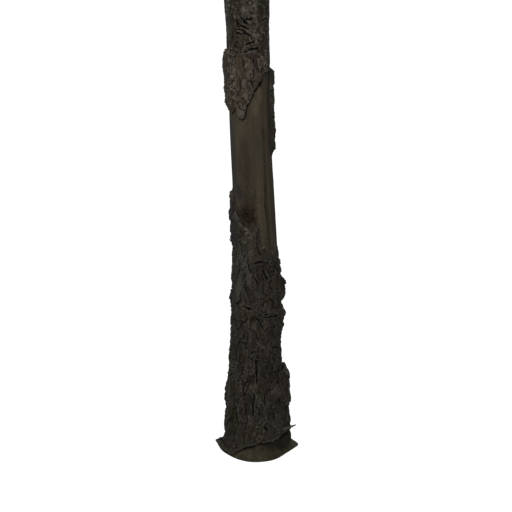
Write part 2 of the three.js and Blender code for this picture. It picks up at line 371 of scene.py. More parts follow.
def sheet_grid(sheet):
    """A sheet's grid: how far each node is inside the torn outline, which squares are kept, and
    which way is out. The nodes on the outline are moved onto it, so that it isn't stepped."""
    from_phi, to_phi, low, high = sheet.span
    from_phi, to_phi = math.radians(from_phi), math.radians(to_phi)
    columns = max(6, round((to_phi - from_phi) * BARK_RADIUS / sheet.cell))
    rows = max(6, round((high - low) / sheet.cell))
    phi, z = np.meshgrid(np.linspace(from_phi, to_phi, columns + 1), np.linspace(low, high, rows + 1))
    torn_gap = gap = sheet.outline(phi, z)
    if sheet.sides is not None:
        gap = np.minimum(torn_gap, within(phi, z, *sheet.sides))
    centre = (gap[:-1, :-1] + gap[1:, :-1] + gap[:-1, 1:] + gap[1:, 1:]) / 4
    keep = centre > 0
    keep[[0, -1]] = False
    keep[:, [0, -1]] = False
    fill_corners(keep)
    keep = main_island(keep, centre)

    touching = np.zeros(phi.shape, int)
    for row, column in product((0, 1), repeat=2):
        touching[row : row + rows, column : column + columns] += keep
    rim = (touching > 0) & (touching < 4)
    step_z, step_phi = (high - low) / rows, (to_phi - from_phi) / columns
    slope_z, slope_s = np.gradient(gap, step_z, step_phi * BARK_RADIUS)
    steep = np.hypot(slope_z, slope_s) + 1e-6
    out_s, out_z = -slope_s / steep, -slope_z / steep
    shift = np.where(rim, np.clip(gap / steep, -0.5 * sheet.cell, 0.5 * sheet.cell), 0)
    phi = phi + shift * out_s / BARK_RADIUS
    z = np.maximum(z + shift * out_z, GROUND_CLEARANCE)
    return Grid(phi, z, torn_gap, keep, touching > 0, rim, out_s, out_z)


def numbered(chosen):
    """Numbers the chosen nodes from 0, and the others -1."""
    number = np.full(chosen.shape, -1)
    number[chosen] = np.arange(chosen.sum())
    return number


def sheet_faces(grid, height, layers):
    """Quads of the outer face, the inner face and the layered wall along the rim."""
    number, rim_number = numbered(grid.used), numbered(grid.rim)
    count, rim_count = number.max() + 1, rim_number.max() + 1
    i, j = np.argwhere(grid.keep).T
    a, b, c, d = number[i, j], number[i, j + 1], number[i + 1, j + 1], number[i + 1, j]
    # Each square is split along its more level diagonal, so that sloping ledges aren't toothed.
    level = np.abs(height[a] - height[c]) <= np.abs(height[b] - height[d])
    outer = np.where(level[:, None], np.stack([a, b, c, d], axis=1), np.stack([b, c, d, a], axis=1))
    faces = [outer, outer[:, ::-1] + count]
    rows, columns = grid.keep.shape
    padded = np.pad(grid.keep, 1)
    for (di, dj), p, q in SQUARE_SIDES:
        open_side = grid.keep & ~padded[1 + di : 1 + di + rows, 1 + dj : 1 + dj + columns]
        i, j = np.argwhere(open_side).T
        start, end = (i + p[0], j + p[1]), (i + q[0], j + q[1])
        ring_start, ring_end = number[start], number[end]
        for layer in range(layers):
            ring, base = rim_number, 2 * count + layer * rim_count
            if layer == layers - 1:
                ring, base = number, count
            next_start, next_end = ring[start] + base, ring[end] + base
            faces.append(np.stack([ring_end, ring_start, next_start, next_end], axis=1))
            ring_start, ring_end = next_start, next_end
    return np.concatenate(faces)


def sheet_marks(grid, marks, torn_rim, walls):
    """The marks of every point: the outer face's, the inner face's, then those of the wall."""
    used, rim = grid.used, grid.rim
    pale = np.clip(0.4 + 0.7 * fractal(grid.phi, grid.z, 0.035, 731, 3), 0.05, 0.95)
    every = {}
    for key in MARKS:
        outer = np.broadcast_to(marks.get(key, 0.0), rim.shape)
        wall = np.tile(outer[rim], walls)
        if key == "edge":
            outer = np.where(torn_rim, pale, outer)
            wall = np.tile(0.55 * (pale * torn_rim)[rim], walls)
        # Painted shade: the wall gets darker towards the wood, and the inner face is dark all over.
        if key == "cavity":
            wall = np.repeat(np.linspace(0.12, 0.65, walls), rim.sum())
        inner = np.full(used.sum(), 1.0 if key in ("cavity", "edge") else 0.0)
        every[key] = np.concatenate([outer[used], inner, wall])
    return every


def build_sheet(sheet, material):
    """A closed sheet that follows the trunk: an outer relief, an inner face on the wood and a torn,
    layered wall along its outline."""
    grid = sheet_grid(sheet)
    phi, z, used, rim = grid.phi, grid.z, grid.used, grid.rim
    torn_rim = rim & (grid.torn_gap < sheet.cell)
    inside = np.where(torn_rim, 0, np.maximum(grid.torn_gap, 0))
    cover, marks = sheet.cover(phi, z, inside)
    # Painted light: relief that stands proud of its neighbours gets a pale painted highlight, and relief
    # below them gets a painted shade.
    proud = cover - box_mean(cover, max(2, round(RELIEF_WINDOW / sheet.cell)))
    proud = proud * smooth(0.001, 0.016, inside)
    rough = 0.3 + 0.7 * marks.get("rough", 1.0)
    gloom = marks.pop("gloom", 1.0)
    marks["edge"] = np.maximum(marks.get("edge", 0.0), 0.85 * rough * smooth(0.0007, 0.0026, proud))
    marks["cavity"] = np.maximum(marks.get("cavity", 0.0), 0.85 * gloom * smooth(0.0008, 0.0034, -proud))
    seat = sheet.seat(phi, z, inside)
    wood = wood_radius(phi, z)
    outer_points = place(phi, z, wood + np.maximum(cover, seat + LEAST_WALL))[used]

    # Wall layers, from the outer face to the inner one, each reaching out a little further.
    wall_points = []
    for layer in range(1, sheet.layers + 1):
        depth = layer / sheet.layers
        ledge = 0.5 + 0.5 * fractal(phi[rim], z[rim], 0.012, 700 + layer, 2)
        reach = sheet.spread * (depth**1.4 * 0.7 + 0.6 * ledge * (depth < 1)) * torn_rim[rim]
        wall_phi = phi[rim] + reach * grid.out_s[rim] / BARK_RADIUS
        wall_z = np.maximum(z[rim] + reach * grid.out_z[rim], GROUND_CLEARANCE)
        radius = wood_radius(wall_phi, wall_z) + cover[rim] * (1 - depth) + seat[rim] * depth
        wall_points.append(place(wall_phi, wall_z, radius))
    inner_points = place(phi, z, wood + seat)
    inner_points[rim] = wall_points.pop()

    points = np.concatenate([outer_points, inner_points[used], *wall_points])
    faces = sheet_faces(grid, cover[used], sheet.layers)
    every = sheet_marks(grid, marks, torn_rim, sheet.layers - 1)
    piece = make_mesh(sheet.name, points, faces, every, material)
    settle(piece, sheet.slot, sheet.nodes)


# ---- Relief of the bark ----

Tier = namedtuple("Tier", "width length joint depth step tilt")
Bark = namedtuple("Bark", "tiers lump lump_height crumb ledge stretch wild gloom waver")
THICK = Bark(
    (
        Tier(0.060, 0.115, 0.0062, 0.0110, 0.0046, 0.0080),
        Tier(0.027, 0.054, 0.0038, 0.0040, 0.0030, 0.0044),
        Tier(0.012, 0.020, 0.0024, 0.0012, 0.0012, 0.0012),
    ),
    0.026, 0.0048, 0.0022, 0.0030, 2.2, 0.0, 0.78, 0.004,
)
SCALY = Bark(
    (
        Tier(0.050, 0.066, 0.0048, 0.0044, 0.0034, 0.0060),
        Tier(0.024, 0.034, 0.0034, 0.0018, 0.0022, 0.0026),
    ),
    0.036, 0.0110, 0.0024, 0.0017, 1.25, 0.0, 0.45, 0.004,
)
THIN = Bark(
    (
        Tier(0.036, 0.040, 0.0040, 0.0020, 0.0014, 0.0020),
        Tier(0.014, 0.018, 0.0030, 0.0014, 0.0010, 0.0010),
    ),
    0.017, 0.0052, 0.0024, 0.0012, 1.0, 0.15, 0.75, 0.0020,
)


def terraces(phi, z, size, seed, stretch):
    """Contour steps of smooth noise, as worn flakes leave them: from -0.5 to 0.5, and how close
    each point is to the foot of a step."""
    layers = 2.6 * fractal(phi, z, size, seed, 4, stretch)
    part = layers - np.floor(layers)
    return smooth(0.0, 0.22, part) - 0.5 + 0.15 * np.floor(layers), 1 - smooth(0.0, 0.15, part)


Relief = namedtuple("Relief", "height cavity tone hue rough crumb")


def relief(phi, z, bark, seed):
    """Height of the bark over its middle level, the painted shade of fissures, hollows and ledge feet, a
    tone and a hue that differ from plate to plate, how rough the plate is, and where pale crumbs stand out."""
    wide = bark.tiers[0].width
    phi_w = phi + (0.5 * wide * fractal(phi, z, 2.2 * wide, seed + 1, 4, 1.6)) / BARK_RADIUS
    phi_w = phi_w + 0.0035 / BARK_RADIUS * fractal(phi, z, 0.014, seed + 3, 3, 1.5)
    z_w = z + 0.9 * wide * fractal(phi, z, 2.0 * wide, seed + 5, 4, 1.4)
    z_w = z_w + 0.005 * fractal(phi, z, 0.016, seed + 7, 3, 1.2)
    # open_sky drops in the joints, in the hollows between lumps and at the feet of ledges, and what it loses
    # is painted as shade.
    height, open_sky, tone, hue = 0.0, 1.0, 0.0, 0.0
    patchy = 0.5 + 0.5 * fractal(phi, z, 0.11, seed + 90, 3, 1.5)
    for number, tier in enumerate(bark.tiers):
        plate = cells(phi_w, z_w, tier.width, tier.length, seed + 10 * number)
        if number == 0:
            rough = smooth(0.2, 0.75, 0.5 * (3.7 * plate.draw[..., 2] % 1) + 0.5 * patchy + bark.wild)
        if number < 2:
            hue = hue + (0.6, 0.4)[number] * (5.3 * plate.draw[..., 1] % 1)
        gape = 0.1 + 0.9 * smooth(-0.15, 0.75, fractal(phi, z, 2.5 * tier.width, seed + 40 + number, 2, 2.5))
        gape = gape * (0.35 + 0.65 * plate.upright**2)
        joint = (1 - smooth(0.0, tier.joint, plate.edge)) * gape
        lean = (plate.draw[..., 1] - 0.5) * plate.dx + (plate.draw[..., 2] - 0.65) * plate.dz
        height = height + tier.step * (2 * plate.draw[..., 0] - 1) + 2 * tier.tilt * lean
        height = height - tier.depth * joint
        open_sky = open_sky * (1 - joint * (0.9, 0.6 * bark.gloom, 0.35 * bark.gloom)[number])
        tone = tone + plate.draw[..., 0] * (0.5, 0.32, 0.18)[number]
    big = np.abs(fractal(phi_w, z_w, bark.lump, seed + 50, 2, bark.stretch))
    small = np.abs(fractal(phi, z, 0.42 * bark.lump, seed + 55, 2, 0.5 + 0.5 * bark.stretch))
    worn = 0.3 + 0.8 * rough
    gloom = worn * bark.gloom
    height = height + worn * bark.lump_height * (np.minimum(big, 1.2) - 0.45)
    height = height + 0.5 * worn * bark.lump_height * (np.minimum(small, 1.2) - 0.45)
    open_sky = open_sky * (1 - 0.45 * gloom * (1 - smooth(0.0, 0.16, big)))
    open_sky = open_sky * (1 - 0.40 * gloom * (1 - smooth(0.0, 0.2, small)))
    for size, share in ((0.075, 1.0), (0.038, 0.55)):
        step, foot = terraces(phi_w, z_w, size, seed + 60, bark.stretch)
        height = height + share * bark.ledge * step
        open_sky = open_sky * (1 - 0.4 * share * foot)
    crumb = smooth(0.30, 0.95, fractal(phi, z, 0.0115, seed + 70, 2, 1.15))
    height = height + worn * bark.crumb * crumb + 0.0008 * fractal(phi, z, 0.008, seed + 75, 2)
    crumb = crumb * smooth(-0.3, 0.5, fractal(phi, z, 0.07, seed + 80, 3)) * (0.25 + 0.75 * rough)
    hue = np.clip(hue * 0.7 + 0.3 * (0.5 + 0.6 * fractal(phi, z, 0.12, seed + 95, 3)), 0, 1)
    return Relief(height, 1 - open_sky, tone, hue, rough, crumb)


def grooves(phi, z, cracks, waver=0.004):
    """Depth in metres and painted shade of a list of cracks; the same share lightens pale edges."""
    depth, dark = np.zeros(phi.shape), np.zeros(phi.shape)
    wobble_phi = phi + waver / BARK_RADIUS * fractal(phi, z, 0.026, 801, 4)
    wobble_z = z + waver * fractal(phi, z, 0.022, 811, 4)
    narrow = np.maximum(1 + 0.5 * fractal(phi, z, 0.014, 821, 3), 0.25)
    for width, deepest, *points in cracks:
        away = line_distance(wobble_phi, wobble_z, points)
        share = 1 - smooth(0.15 * (width * narrow), 1.15 * (width * narrow), away)
        depth = np.maximum(depth, deepest * share)
        dark = np.maximum(dark, share)
    return depth, dark


# Each crack or pale edge: width, depth, then its points in degrees and height.
BARK_CRACKS = [
    (0.0075, 0.01, (-3, 1.152), (8, 1.16), (22, 1.156), (34, 1.15), (47, 1.157)),
    (0.005, 0.01, (-43, 1.262), (-37, 1.235), (-35, 1.19)),
    (0.005, 0.01, (4, 1.24), (8, 1.205), (15, 1.19)),
    (0.0044, 0.01, (-21, 1.162), (-17, 1.125), (-12, 1.098)),
    (0.004, 0.01, (-7, 1.078), (0, 1.052), (3, 1.03)),
    (0.0065, 0.013, (15, 1.108), (21, 1.075), (25, 1.062)),
    (0.0042, 0.01, (29, 1.035), (32, 1.008), (38, 0.995)),
    (0.0055, 0.012, (54, 0.992), (68, 1.006), (80, 1.01)), (0.0085, 0.02, (-21, 0.895), (-15, 0.894)),
    (0.0045, 0.01, (-30, 0.905), (-22, 0.896), (-8, 0.895)), (0.0075, 0.018, (19, 0.859), (25, 0.856)),
    (0.0045, 0.012, (-20, 0.835), (-27, 0.815), (-34, 0.8)),
    (0.0045, 0.01, (-6, 0.852), (4, 0.825), (13, 0.785)),
    (0.005, 0.013, (17, 0.845), (36, 0.835), (54, 0.835), (46, 0.79), (37, 0.745)),
    (0.0045, 0.012, (58, 0.712), (72, 0.716)), (0.004, 0.012, (-12, 0.63), (-7, 0.638), (-1, 0.646)),
    (0.0045, 0.012, (1, 0.59), (0, 0.53), (0.5, 0.449)),
    (0.004, 0.01, (-5.5, 0.392), (-7, 0.33), (-7.5, 0.265)), (0.0065, 0.012, (15, 0.192), (20, 0.169)),
    (0.006, 0.013, (-64, 0.52), (-54, 0.508)), (0.0065, 0.014, (50, 0.437), (57, 0.428)),
    (0.006, 0.012, (150, 0.95), (158, 0.86), (156, 0.78)),
    (0.006, 0.012, (-150, 0.74), (-140, 0.7), (-128, 0.71)),
    (0.006, 0.012, (172, 0.45), (168, 0.36), (171, 0.27)),
]
PALE_EDGES = [
    (0.009, 0.0035, (-59, 1.416), (-50, 1.4), (-42, 1.384)),
    (0.008, 0.003, (-43, 1.364), (-37, 1.35), (-31.5, 1.332)),
    (0.007, 0.002, (-39, 1.276), (-32, 1.272), (-27, 1.258)),
    (0.0065, 0.003, (-13.0, 1.287), (-8, 1.302), (-4, 1.316)),
    (0.012, 0.004, (-2, 1.322), (1, 1.33), (3, 1.343)),
    (0.005, 0.002, (-52, 1.222), (-46, 1.18), (-47, 1.14)),
    (0.0045, 0.002, (-44, 1.06), (-40, 1.01), (-44, 0.975)),
    (0.0045, 0.002, (-42, 0.905), (-30, 0.908)), (0.0045, 0.002, (-3, 0.885), (4, 0.905), (5, 0.87)),
    (0.005, 0.002, (30, 0.432), (42, 0.405), (50, 0.368), (60, 0.372)),
    (0.0055, 0.0015, (-20, 0.452), (-12, 0.432), (-4, 0.44), (2, 0.452)),
    (0.005, 0.0015, (-6, 0.418), (2, 0.352), (10, 0.282)),
    (0.0045, 0.0015, (6, 0.372), (14, 0.312), (22, 0.262)),
    (0.0045, 0.0015, (-22, 0.245), (-14, 0.262), (-12, 0.228)),
    (0.0045, 0.0015, (2, 0.702), (8, 0.675), (18, 0.668)), (0.0045, 0.0015, (-34, 0.742), (-30, 0.712)),
]

UPPER_CRACKS = [
    (0.004, 0.007, (0, 2.118), (6, 2.096), (12, 2.067)),
    (0.004, 0.006, (14, 2.215), (15, 2.165), (12, 2.14)),
    (0.0045, 0.006, (-30, 2.0), (-21, 1.968), (-13, 1.962)),
]

# Oval patches: strength, degrees, height, half angle, half height. Swell and calm change the relief, pale
# lightens
#  the bark and paints highlights where it lies on the swellings, dim darkens it, and the rest are stains.
PATCHES = {
    "moss": [
        (0.9, -50, 0.2, 10, 0.11), (0.55, -56, 0.4, 9, 0.06), (0.9, -50, 1.958, 5, 0.022),
        (0.7, -150, 0.13, 22, 0.09), (0.5, 150, 0.1, 18, 0.06),
    ],
    "lichen": [
        (0.7, -80, 0.95, 26, 0.42), (0.6, -62, 0.5, 20, 0.16), (0.4, 44, 0.19, 18, 0.08),
        (0.8, 90, 0.78, 18, 0.09), (0.5, -24, 0.7, 12, 0.09), (0.6, 6, 0.985, 15, 0.06),
        (0.5, 24, 1.19, 14, 0.03), (0.7, 84, 2.03, 16, 0.16), (0.7, -66, 2.46, 24, 0.14),
        (0.5, 60, 2.44, 18, 0.12), (0.6, -145, 0.9, 35, 0.5), (0.6, -30, 1.14, 28, 0.11),
    ],
    "warm": [
        (0.8, -5, 0.682, 6, 0.038), (0.3, -20, 0.16, 16, 0.07), (0.7, 12, 1.112, 16, 0.05),
        (0.5, 40, 2.27, 9, 0.08), (0.4, 170, 1.5, 16, 0.2), (0.6, 10, 1.31, 6, 0.03),
    ],
    "cool": [
        (0.9, -70, 1.36, 30, 0.12), (0.7, -84, 1.12, 26, 0.3), (0.8, -78, 2.4, 30, 0.22),
        (0.7, -80, 2.08, 16, 0.14), (0.6, 74, 2.22, 22, 0.12), (0.6, -84, 0.3, 22, 0.26),
        (0.6, -52, 1.08, 42, 0.17),
    ],
    "swell": [
        (0.009, 82, 1.128, 20, 0.02), (0.009, -82, 1.395, 26, 0.03), (0.008, -82, 1.245, 26, 0.03),
        (0.009, -22, 1.948, 8, 0.03), (0.007, -13, 2.085, 7, 0.024), (0.007, 5, 2.137, 7, 0.02),
        (0.006, 24, 2.125, 10, 0.03), (0.006, -8, 2.03, 6, 0.02), (0.006, -2, 2.18, 7, 0.018),
        (0.006, -82, 1.51, 12, 0.018),
    ],
    "pale": [
        (1.0, -22, 1.945, 10, 0.036), (1.0, -12, 2.088, 8, 0.03), (1.0, 4, 2.135, 8, 0.026),
        (0.9, -1, 2.182, 8, 0.022), (0.8, -8, 2.03, 6, 0.022), (0.7, -24, 2.138, 5, 0.018),
        (0.9, 12, 2.345, 6, 0.036), (0.9, -4, 2.445, 16, 0.03), (1.0, -49, 1.398, 9, 0.02),
        (0.9, -36, 1.346, 6, 0.016), (1.0, -2, 1.322, 7, 0.024), (0.9, -11, 1.292, 6, 0.016),
        (0.7, 24, 2.46, 9, 0.07), (1.0, -12, 1.205, 7, 0.055), (1.0, -38, 1.19, 7, 0.05),
        (1.0, -40, 1.02, 7, 0.07), (1.0, -18, 1.075, 8, 0.045), (0.8, -36, 0.925, 9, 0.022),
        (0.9, 2, 0.895, 5, 0.025), (0.7, 28, 0.88, 12, 0.035), (0.8, -6, 0.8, 6, 0.03),
        (0.8, 8, 0.69, 6, 0.025), (1.0, -8, 0.438, 11, 0.02), (0.8, 4, 0.355, 5, 0.05),
        (0.7, 44, 0.4, 16, 0.035), (0.7, -14, 0.235, 8, 0.03), (0.5, -66, 2.36, 16, 0.05),
        (0.9, 84, 0.485, 16, 0.03), (0.8, 15, 2.165, 5, 0.02), (1.0, -80, 1.512, 12, 0.018),
    ],
    "calm": [
        (0.9, -62, 1.36, 22, 0.085), (0.95, 76, 2.26, 28, 0.1), (0.6, -70, 2.46, 24, 0.16),
        (0.7, 9, 0.53, 7, 0.085), (0.8, 6, 1.118, 9, 0.045), (0.6, -5, 0.682, 8, 0.045),
        (0.6, 50, 1.19, 26, 0.022), (0.6, -20, 0.32, 12, 0.09), (0.8, 10, 0.145, 66, 0.11),
        (0.6, -84, 2.1, 26, 0.16), (0.5, 88, 1.95, 34, 0.3), (0.8, 23, 2.12, 13, 0.045),
    ],
    "fleck": [
        (0.8, 10, 0.15, 66, 0.12), (0.8, -54, 2.36, 32, 0.16), (0.8, 56, 2.37, 34, 0.17),
        (0.7, 0, 2.44, 60, 0.08),
    ],
    "dim": [
        (0.5, -48, 2.495, 54, 0.045), (0.25, 10, 2.505, 44, 0.035), (0.13, 0, 0.42, 80, 0.16),
        (0.32, 0, 2.455, 60, 0.06), (0.3, -72, 1.215, 24, 0.09), (0.35, -72, 0.44, 20, 0.09),
        (0.22, 70, 0.15, 26, 0.07), (0.6, 10, 1.31, 6, 0.03),
    ],
}


def growth(phi, z):
    """Moss, stains, swellings and the like at each point of the bark."""
    ragged = fractal(phi, z, 0.05, 901, 4, 1.4)
    return {mark: strongest(phi, z, patches, ragged) for mark, patches in PATCHES.items()}


# ---- Outlines of the bark, as heights round the trunk in degrees and metres ----

LOWER_TOP = [
    (-126, 1.49), (-108, 1.535), (-84, 1.53), (-67, 1.526), (-63, 1.438), (-44, 1.394), (-34, 1.358),
    (-31, 1.337), (-29.5, 1.313), (-26, 1.291), (-21, 1.275), (-16, 1.284), (-10, 1.303),
    (3, 1.352), (9, 1.318), (13, 1.262), (16, 1.166), (32, 1.158),
    (46, 1.152), (62, 1.138), (78, 1.118), (104, 1.124), (126, 1.15), (150, 1.215), (157, 1.34),
    (160, 1.935), (188, 1.935), (193, 1.37), (205, 1.295), (222, 1.40),
]
LOWER_FOOT = [
    (-92, 0.010), (-60, 0.008), (-40, 0.016), (-35, 0.036), (-28, 0.053), (-22, 0.068), (-7, 0.086),
    (7, 0.103), (27, 0.106), (50, 0.112), (66, 0.112), (90, 0.094), (118, 0.075), (140, 0.045),
    (165, 0.024), (200, 0.020), (230, 0.012),
]
UPPER_FOOT = [
    (-125, 1.99), (-100, 1.962), (-65, 1.960), (-53, 1.945), (-46, 1.958), (-41, 1.974), (-36, 1.958),
    (-33, 1.936), (-28, 1.922), (-20, 1.916), (-14, 1.924), (-11.5, 1.945), (-10.5, 1.966), (-7, 1.982),
    (-1, 2.002), (3, 2.024), (9, 2.040), (13, 2.062), (19, 2.074), (27, 2.096), (32, 2.106),
    (38, 2.134), (44, 2.146), (66, 2.162), (100, 2.172),
    (132, 1.93), (150, 1.90), (160, 1.94), (195, 1.94), (215, 1.965),
]
UPPER_TOP = [
    (-150, 2.246), (-100, 2.260), (-66, 2.259), (-50, 2.243), (-20, 2.236), (5, 2.248),
    (30, 2.236), (48, 2.222), (66, 2.198), (100, 2.2), (131, 2.236), (160, 2.245),
]
UPPER_RAGS = (430, 0.004, 0.003)
STRIP_FOOT = [(64, 1.726), (80, 1.722), (110, 1.735), (128, 1.76)]
STRIP_TOP = 2.176
THIN_FOOT = [
    (-89, 2.234), (0, 2.226), (30, 2.220), (50, 2.206), (62, 2.180), (100, 2.160), (129, 2.18),
    (140, 2.225), (180, 2.235),
]
THIN_TOP = [(-80, 2.61), (-40, 2.60), (10, 2.625), (50, 2.60), (100, 2.62), (160, 2.615), (220, 2.60)]
FRONT_THIN_TOP = [
    (7, 1.300), (12, 1.262), (16, 1.236), (21, 1.243), (30, 1.246), (37, 1.238), (43, 1.216),
    (52, 1.228), (60, 1.240), (72, 1.230), (98, 1.19),
]
JOINT = 0.0003


def torn(phi, z, seed, coarse=0.006, fine=0.0032):
    """How far a torn edge strays to either side, in metres."""
    return coarse * fractal(phi, z, 0.034, seed, 2) + fine * fractal(phi, z, 0.009, seed + 7, 3)


def below(table, phi, z):
    """Distance under a height that changes round the trunk, true across its steep stretches too."""
    return (round_the_trunk(table, phi) - z) / np.hypot(1, steepness(table, phi, 0.6))


def between(phi, z, foot, top, rough):
    """Distance inside a band that runs round the trunk between two ragged edges."""
    return np.minimum(below(top, phi, z), -below(foot, phi, z)) + rough


def within(phi, z, left, right):
    """Distance inside two wavering side edges, in metres."""

    def waver(degrees):
        wide = 0.014 * fractal(phi * 0 + math.radians(degrees), z, 0.14, 311, 2)
        return wide + 0.005 * fractal(phi, z, 0.03, 321, 2)

    from_left = turn_from(phi, left) * BARK_RADIUS - waver(left)
    from_right = -turn_from(phi, right) * BARK_RADIUS + waver(right)
    return np.minimum(from_left, from_right) - JOINT / 2


def thickness(table, phi, z):
    """Bark thickness from {degrees: [(height, metres), ...]}, blended round the trunk."""
    degrees = sorted(table)
    profiles = [np.interp(z, *zip(*table[deg])) for deg in degrees]
    where = np.degrees(phi) % 360
    total, weight = 0.0, 0.0
    for deg, profile in zip(degrees, profiles):
        away = np.abs((where - deg + 180) % 360 - 180)
        share = np.clip(1 - away / 90, 0, 1) ** 1.5 + 1e-6
        total, weight = total + share * profile, weight + share
    return total / weight


LOWER_THICKNESS = {
    0: [(0, 0.015), (0.1, 0.021), (0.3, 0.025), (0.9, 0.024), (1.15, 0.018), (1.22, 0.012), (1.35, 0.008)],
    90: [(0, 0.012), (0.1, 0.016), (0.5, 0.015), (0.9, 0.017), (1.12, 0.013)],
    180: [(0, 0.012), (0.1, 0.021), (0.3, 0.026), (1.1, 0.024), (1.9, 0.020)],
    270: [(0, 0.013), (0.05, 0.012), (0.12, 0.021), (0.3, 0.028), (0.6, 0.029), (0.9, 0.021),
          (1.12, 0.014), (1.22, 0.013), (1.42, 0.022), (1.55, 0.018)],
}
UPPER_THICKNESS = {
    0: [(1.9, 0.018), (2.1, 0.021), (2.25, 0.013)],
    90: [(1.7, 0.021), (1.95, 0.023), (2.17, 0.025), (2.25, 0.010)],
    180: [(1.9, 0.020), (2.25, 0.018)],
    270: [(1.9, 0.016), (2.1, 0.024), (2.225, 0.028), (2.255, 0.021)],
}


def nothing(phi, z, inside):
    return 0.0 * phi


def thick_cover(table, bark, seed, lift=nothing, cracks=(), pale=(), edge_thin=0.35, least=0.0032):
    """Outer face of a sheet: its thickness, thinner towards its torn edge, with the relief."""

    def cover(phi, z, inside):
        body = thickness(table, phi, z) if isinstance(table, dict) else table
        thin = edge_thin(z) if callable(edge_thin) else edge_thin
        body = body * (1 - thin + thin * smooth(0, 0.035, inside))
        found = relief(phi, z, bark, seed)
        marks = growth(phi, z)
        lively = 1 - 0.75 * marks.pop("calm")
        height = found.height * lively * (0.4 + 0.6 * smooth(0, 0.018, inside))
        height = height * np.clip(body / 0.018, 0.4, 1.15)
        depth, dark = grooves(phi, z, cracks, bark.waver)
        raised, light = grooves(phi, z, pale, bark.waver)
        light = light * smooth(-0.7, 0.4, fractal(phi, z, 0.018, 741, 3))
        outer = np.maximum(body + height - depth + raised + marks.pop("swell"), least)
        # Painted shade in fissures and cracks, lifted off the pale edges.
        marks["cavity"] = np.maximum(found.cavity * (0.1 + 0.9 * lively) * (1 - light), dark)
        marks["tone"] = 0.5 + (found.tone - 0.5) * lively - marks.pop("dim")
        marks["hue"], marks["gloom"] = found.hue, bark.gloom
        marks["rough"] = np.maximum(found.rough * lively, marks.pop("fleck"))
        # Pale crumbs and pale patches. On the swellings the pale patches are a painted highlight.
        crumbs = np.maximum(0.8 * found.crumb * lively, 0.75 * marks.pop("pale"))
        fringe = 0.4 * (1 - smooth(0, 0.006, inside))
        low = smooth(0.17, 0.13, z) * (0.6 + 0.5 * fractal(phi, z, 0.03, 751, 3))
        fringe = np.maximum(fringe, low * (1 - smooth(0.003, 0.014, inside)))
        marks["edge"] = np.maximum(np.maximum(fringe, 1.1 * light), crumbs)
        return outer + lift(phi, z, inside), marks

    return cover


def seat_over(lift=nothing):
    """Inner face of a sheet: on the wood, or off it by lift."""

    def seat(phi, z, inside):
        return 0.001 + lift(phi, z, inside)

    return seat


def lower_outline(phi, z):
    rough = torn(phi, z, 410)
    steady = 0.25 + 0.75 * smooth(0.0, 0.04, z)
    return np.minimum(below(LOWER_TOP, phi, z) + rough, rough * steady - below(LOWER_FOOT, phi, z))


def side_by_side(parts, slot, outline, cover, seat, layers, spread, cell):
    """Sheets that share one outline and meet along wavering upright joints."""
    for name, left, right, low, high, *nodes in parts:
        span = (left - OVERLAP, right + OVERLAP, low, high)
        yield Sheet(name, nodes, slot, span, (left, right), outline, cover, seat, layers, spread, cell)


def foot_curl(reach, height):
    """Lets the lower edge of the bark stand off the wood, all round."""

    def lift(phi, z, inside):
        start = round_the_trunk(LOWER_FOOT, phi)
        grounded = smooth(0.02, 0.06, start)
        waver = 0.75 + 0.35 * fractal(phi, 0 * z, 0.05, 461, 3)
        return reach * waver * (0.25 + 0.75 * grounded) * (1 - smooth(0, height, z - start)) ** 2

    return lift


CELL = 0.0030
OVERLAP = 9


def feathered(z):
    """How much the bark thins towards its torn edge: most where the last slabs cling to the wood."""
    return 0.35 + 0.5 * smooth(1.26, 1.33, z) * (z < 1.7)


def lower_bark():
    curl = foot_curl(0.012, 0.07)
    cover = thick_cover(LOWER_THICKNESS, THICK, 100, curl, BARK_CRACKS, PALE_EDGES, feathered)
    parts = [
        ("lower_bark_front", -41, 36, 0.006, 1.40, "bark_front_low", "bark_front_mid",
         "bark_front_top", "bark_front_shoulder", "bark_front_chip"),
        ("lower_bark_left", -127, -41, 0.0, 1.56, "bark_left_foot", "bark_left_low",
         "bark_left_mid", "bark_left_top"),
        ("lower_bark_right", 36, 119, 0.05, 1.18, "bark_right_front", "bark_right_mid"),
        ("lower_bark_back_right", 119, 176, 0.01, 1.96, "bark_back_low", "bark_back_high",
         "bark_back_bridge"),
        ("lower_bark_back_left", 176, 233, 0.0, 1.96, "bark_back_left_low", "bark_back_left_high"),
    ]
    return side_by_side(
        parts, "thick_bark", lower_outline, cover, seat_over(curl), 5, 0.0045, CELL
    )


# Plates that have come away and stand on the bark or the wood beneath.
Plate = namedtuple("Plate", "name nodes left right low high thick stand_low stand_high seed")
LOOSE_PLATES = [
    Plate("plate_right_loose", ("bark_right_loose",), 58, 116, 0.112, 0.488, 0.020, 0.013, 0.034, 510),
    Plate("plate_right_middle", ("bark_right_plate",), 62, 114, 0.708, 0.860, 0.018, 0.012, 0.022, 520),
    Plate("plate_right_bulge", ("bark_right_bulge",), 63, 112, 0.912, 1.046, 0.024, 0.022, 0.004, 530),
    Plate("plate_left_low", (), -118, -68, 0.225, 0.335, 0.020, 0.020, 0.022, 540),
    Plate("plate_left_high", (), -122, -72, 0.318, 0.452, 0.014, 0.026, 0.022, 550),
    Plate("plate_front_flake", (), -22, 2, 0.905, 1.030, 0.009, 0.019, 0.016, 560),
    Plate("plate_front_low", (), 18, 44, 0.27, 0.43, 0.010, 0.020, 0.016, 570),
    Plate("plate_back", (), 134, 168, 0.62, 0.86, 0.013, 0.022, 0.018, 580),
    Plate("plate_back_left", (), -164, -134, 0.24, 0.47, 0.013, 0.023, 0.020, 590),
    Plate("plate_back_high", (), 158, 186, 1.06, 1.30, 0.011, 0.020, 0.016, 600),
]
CORNER = 0.006


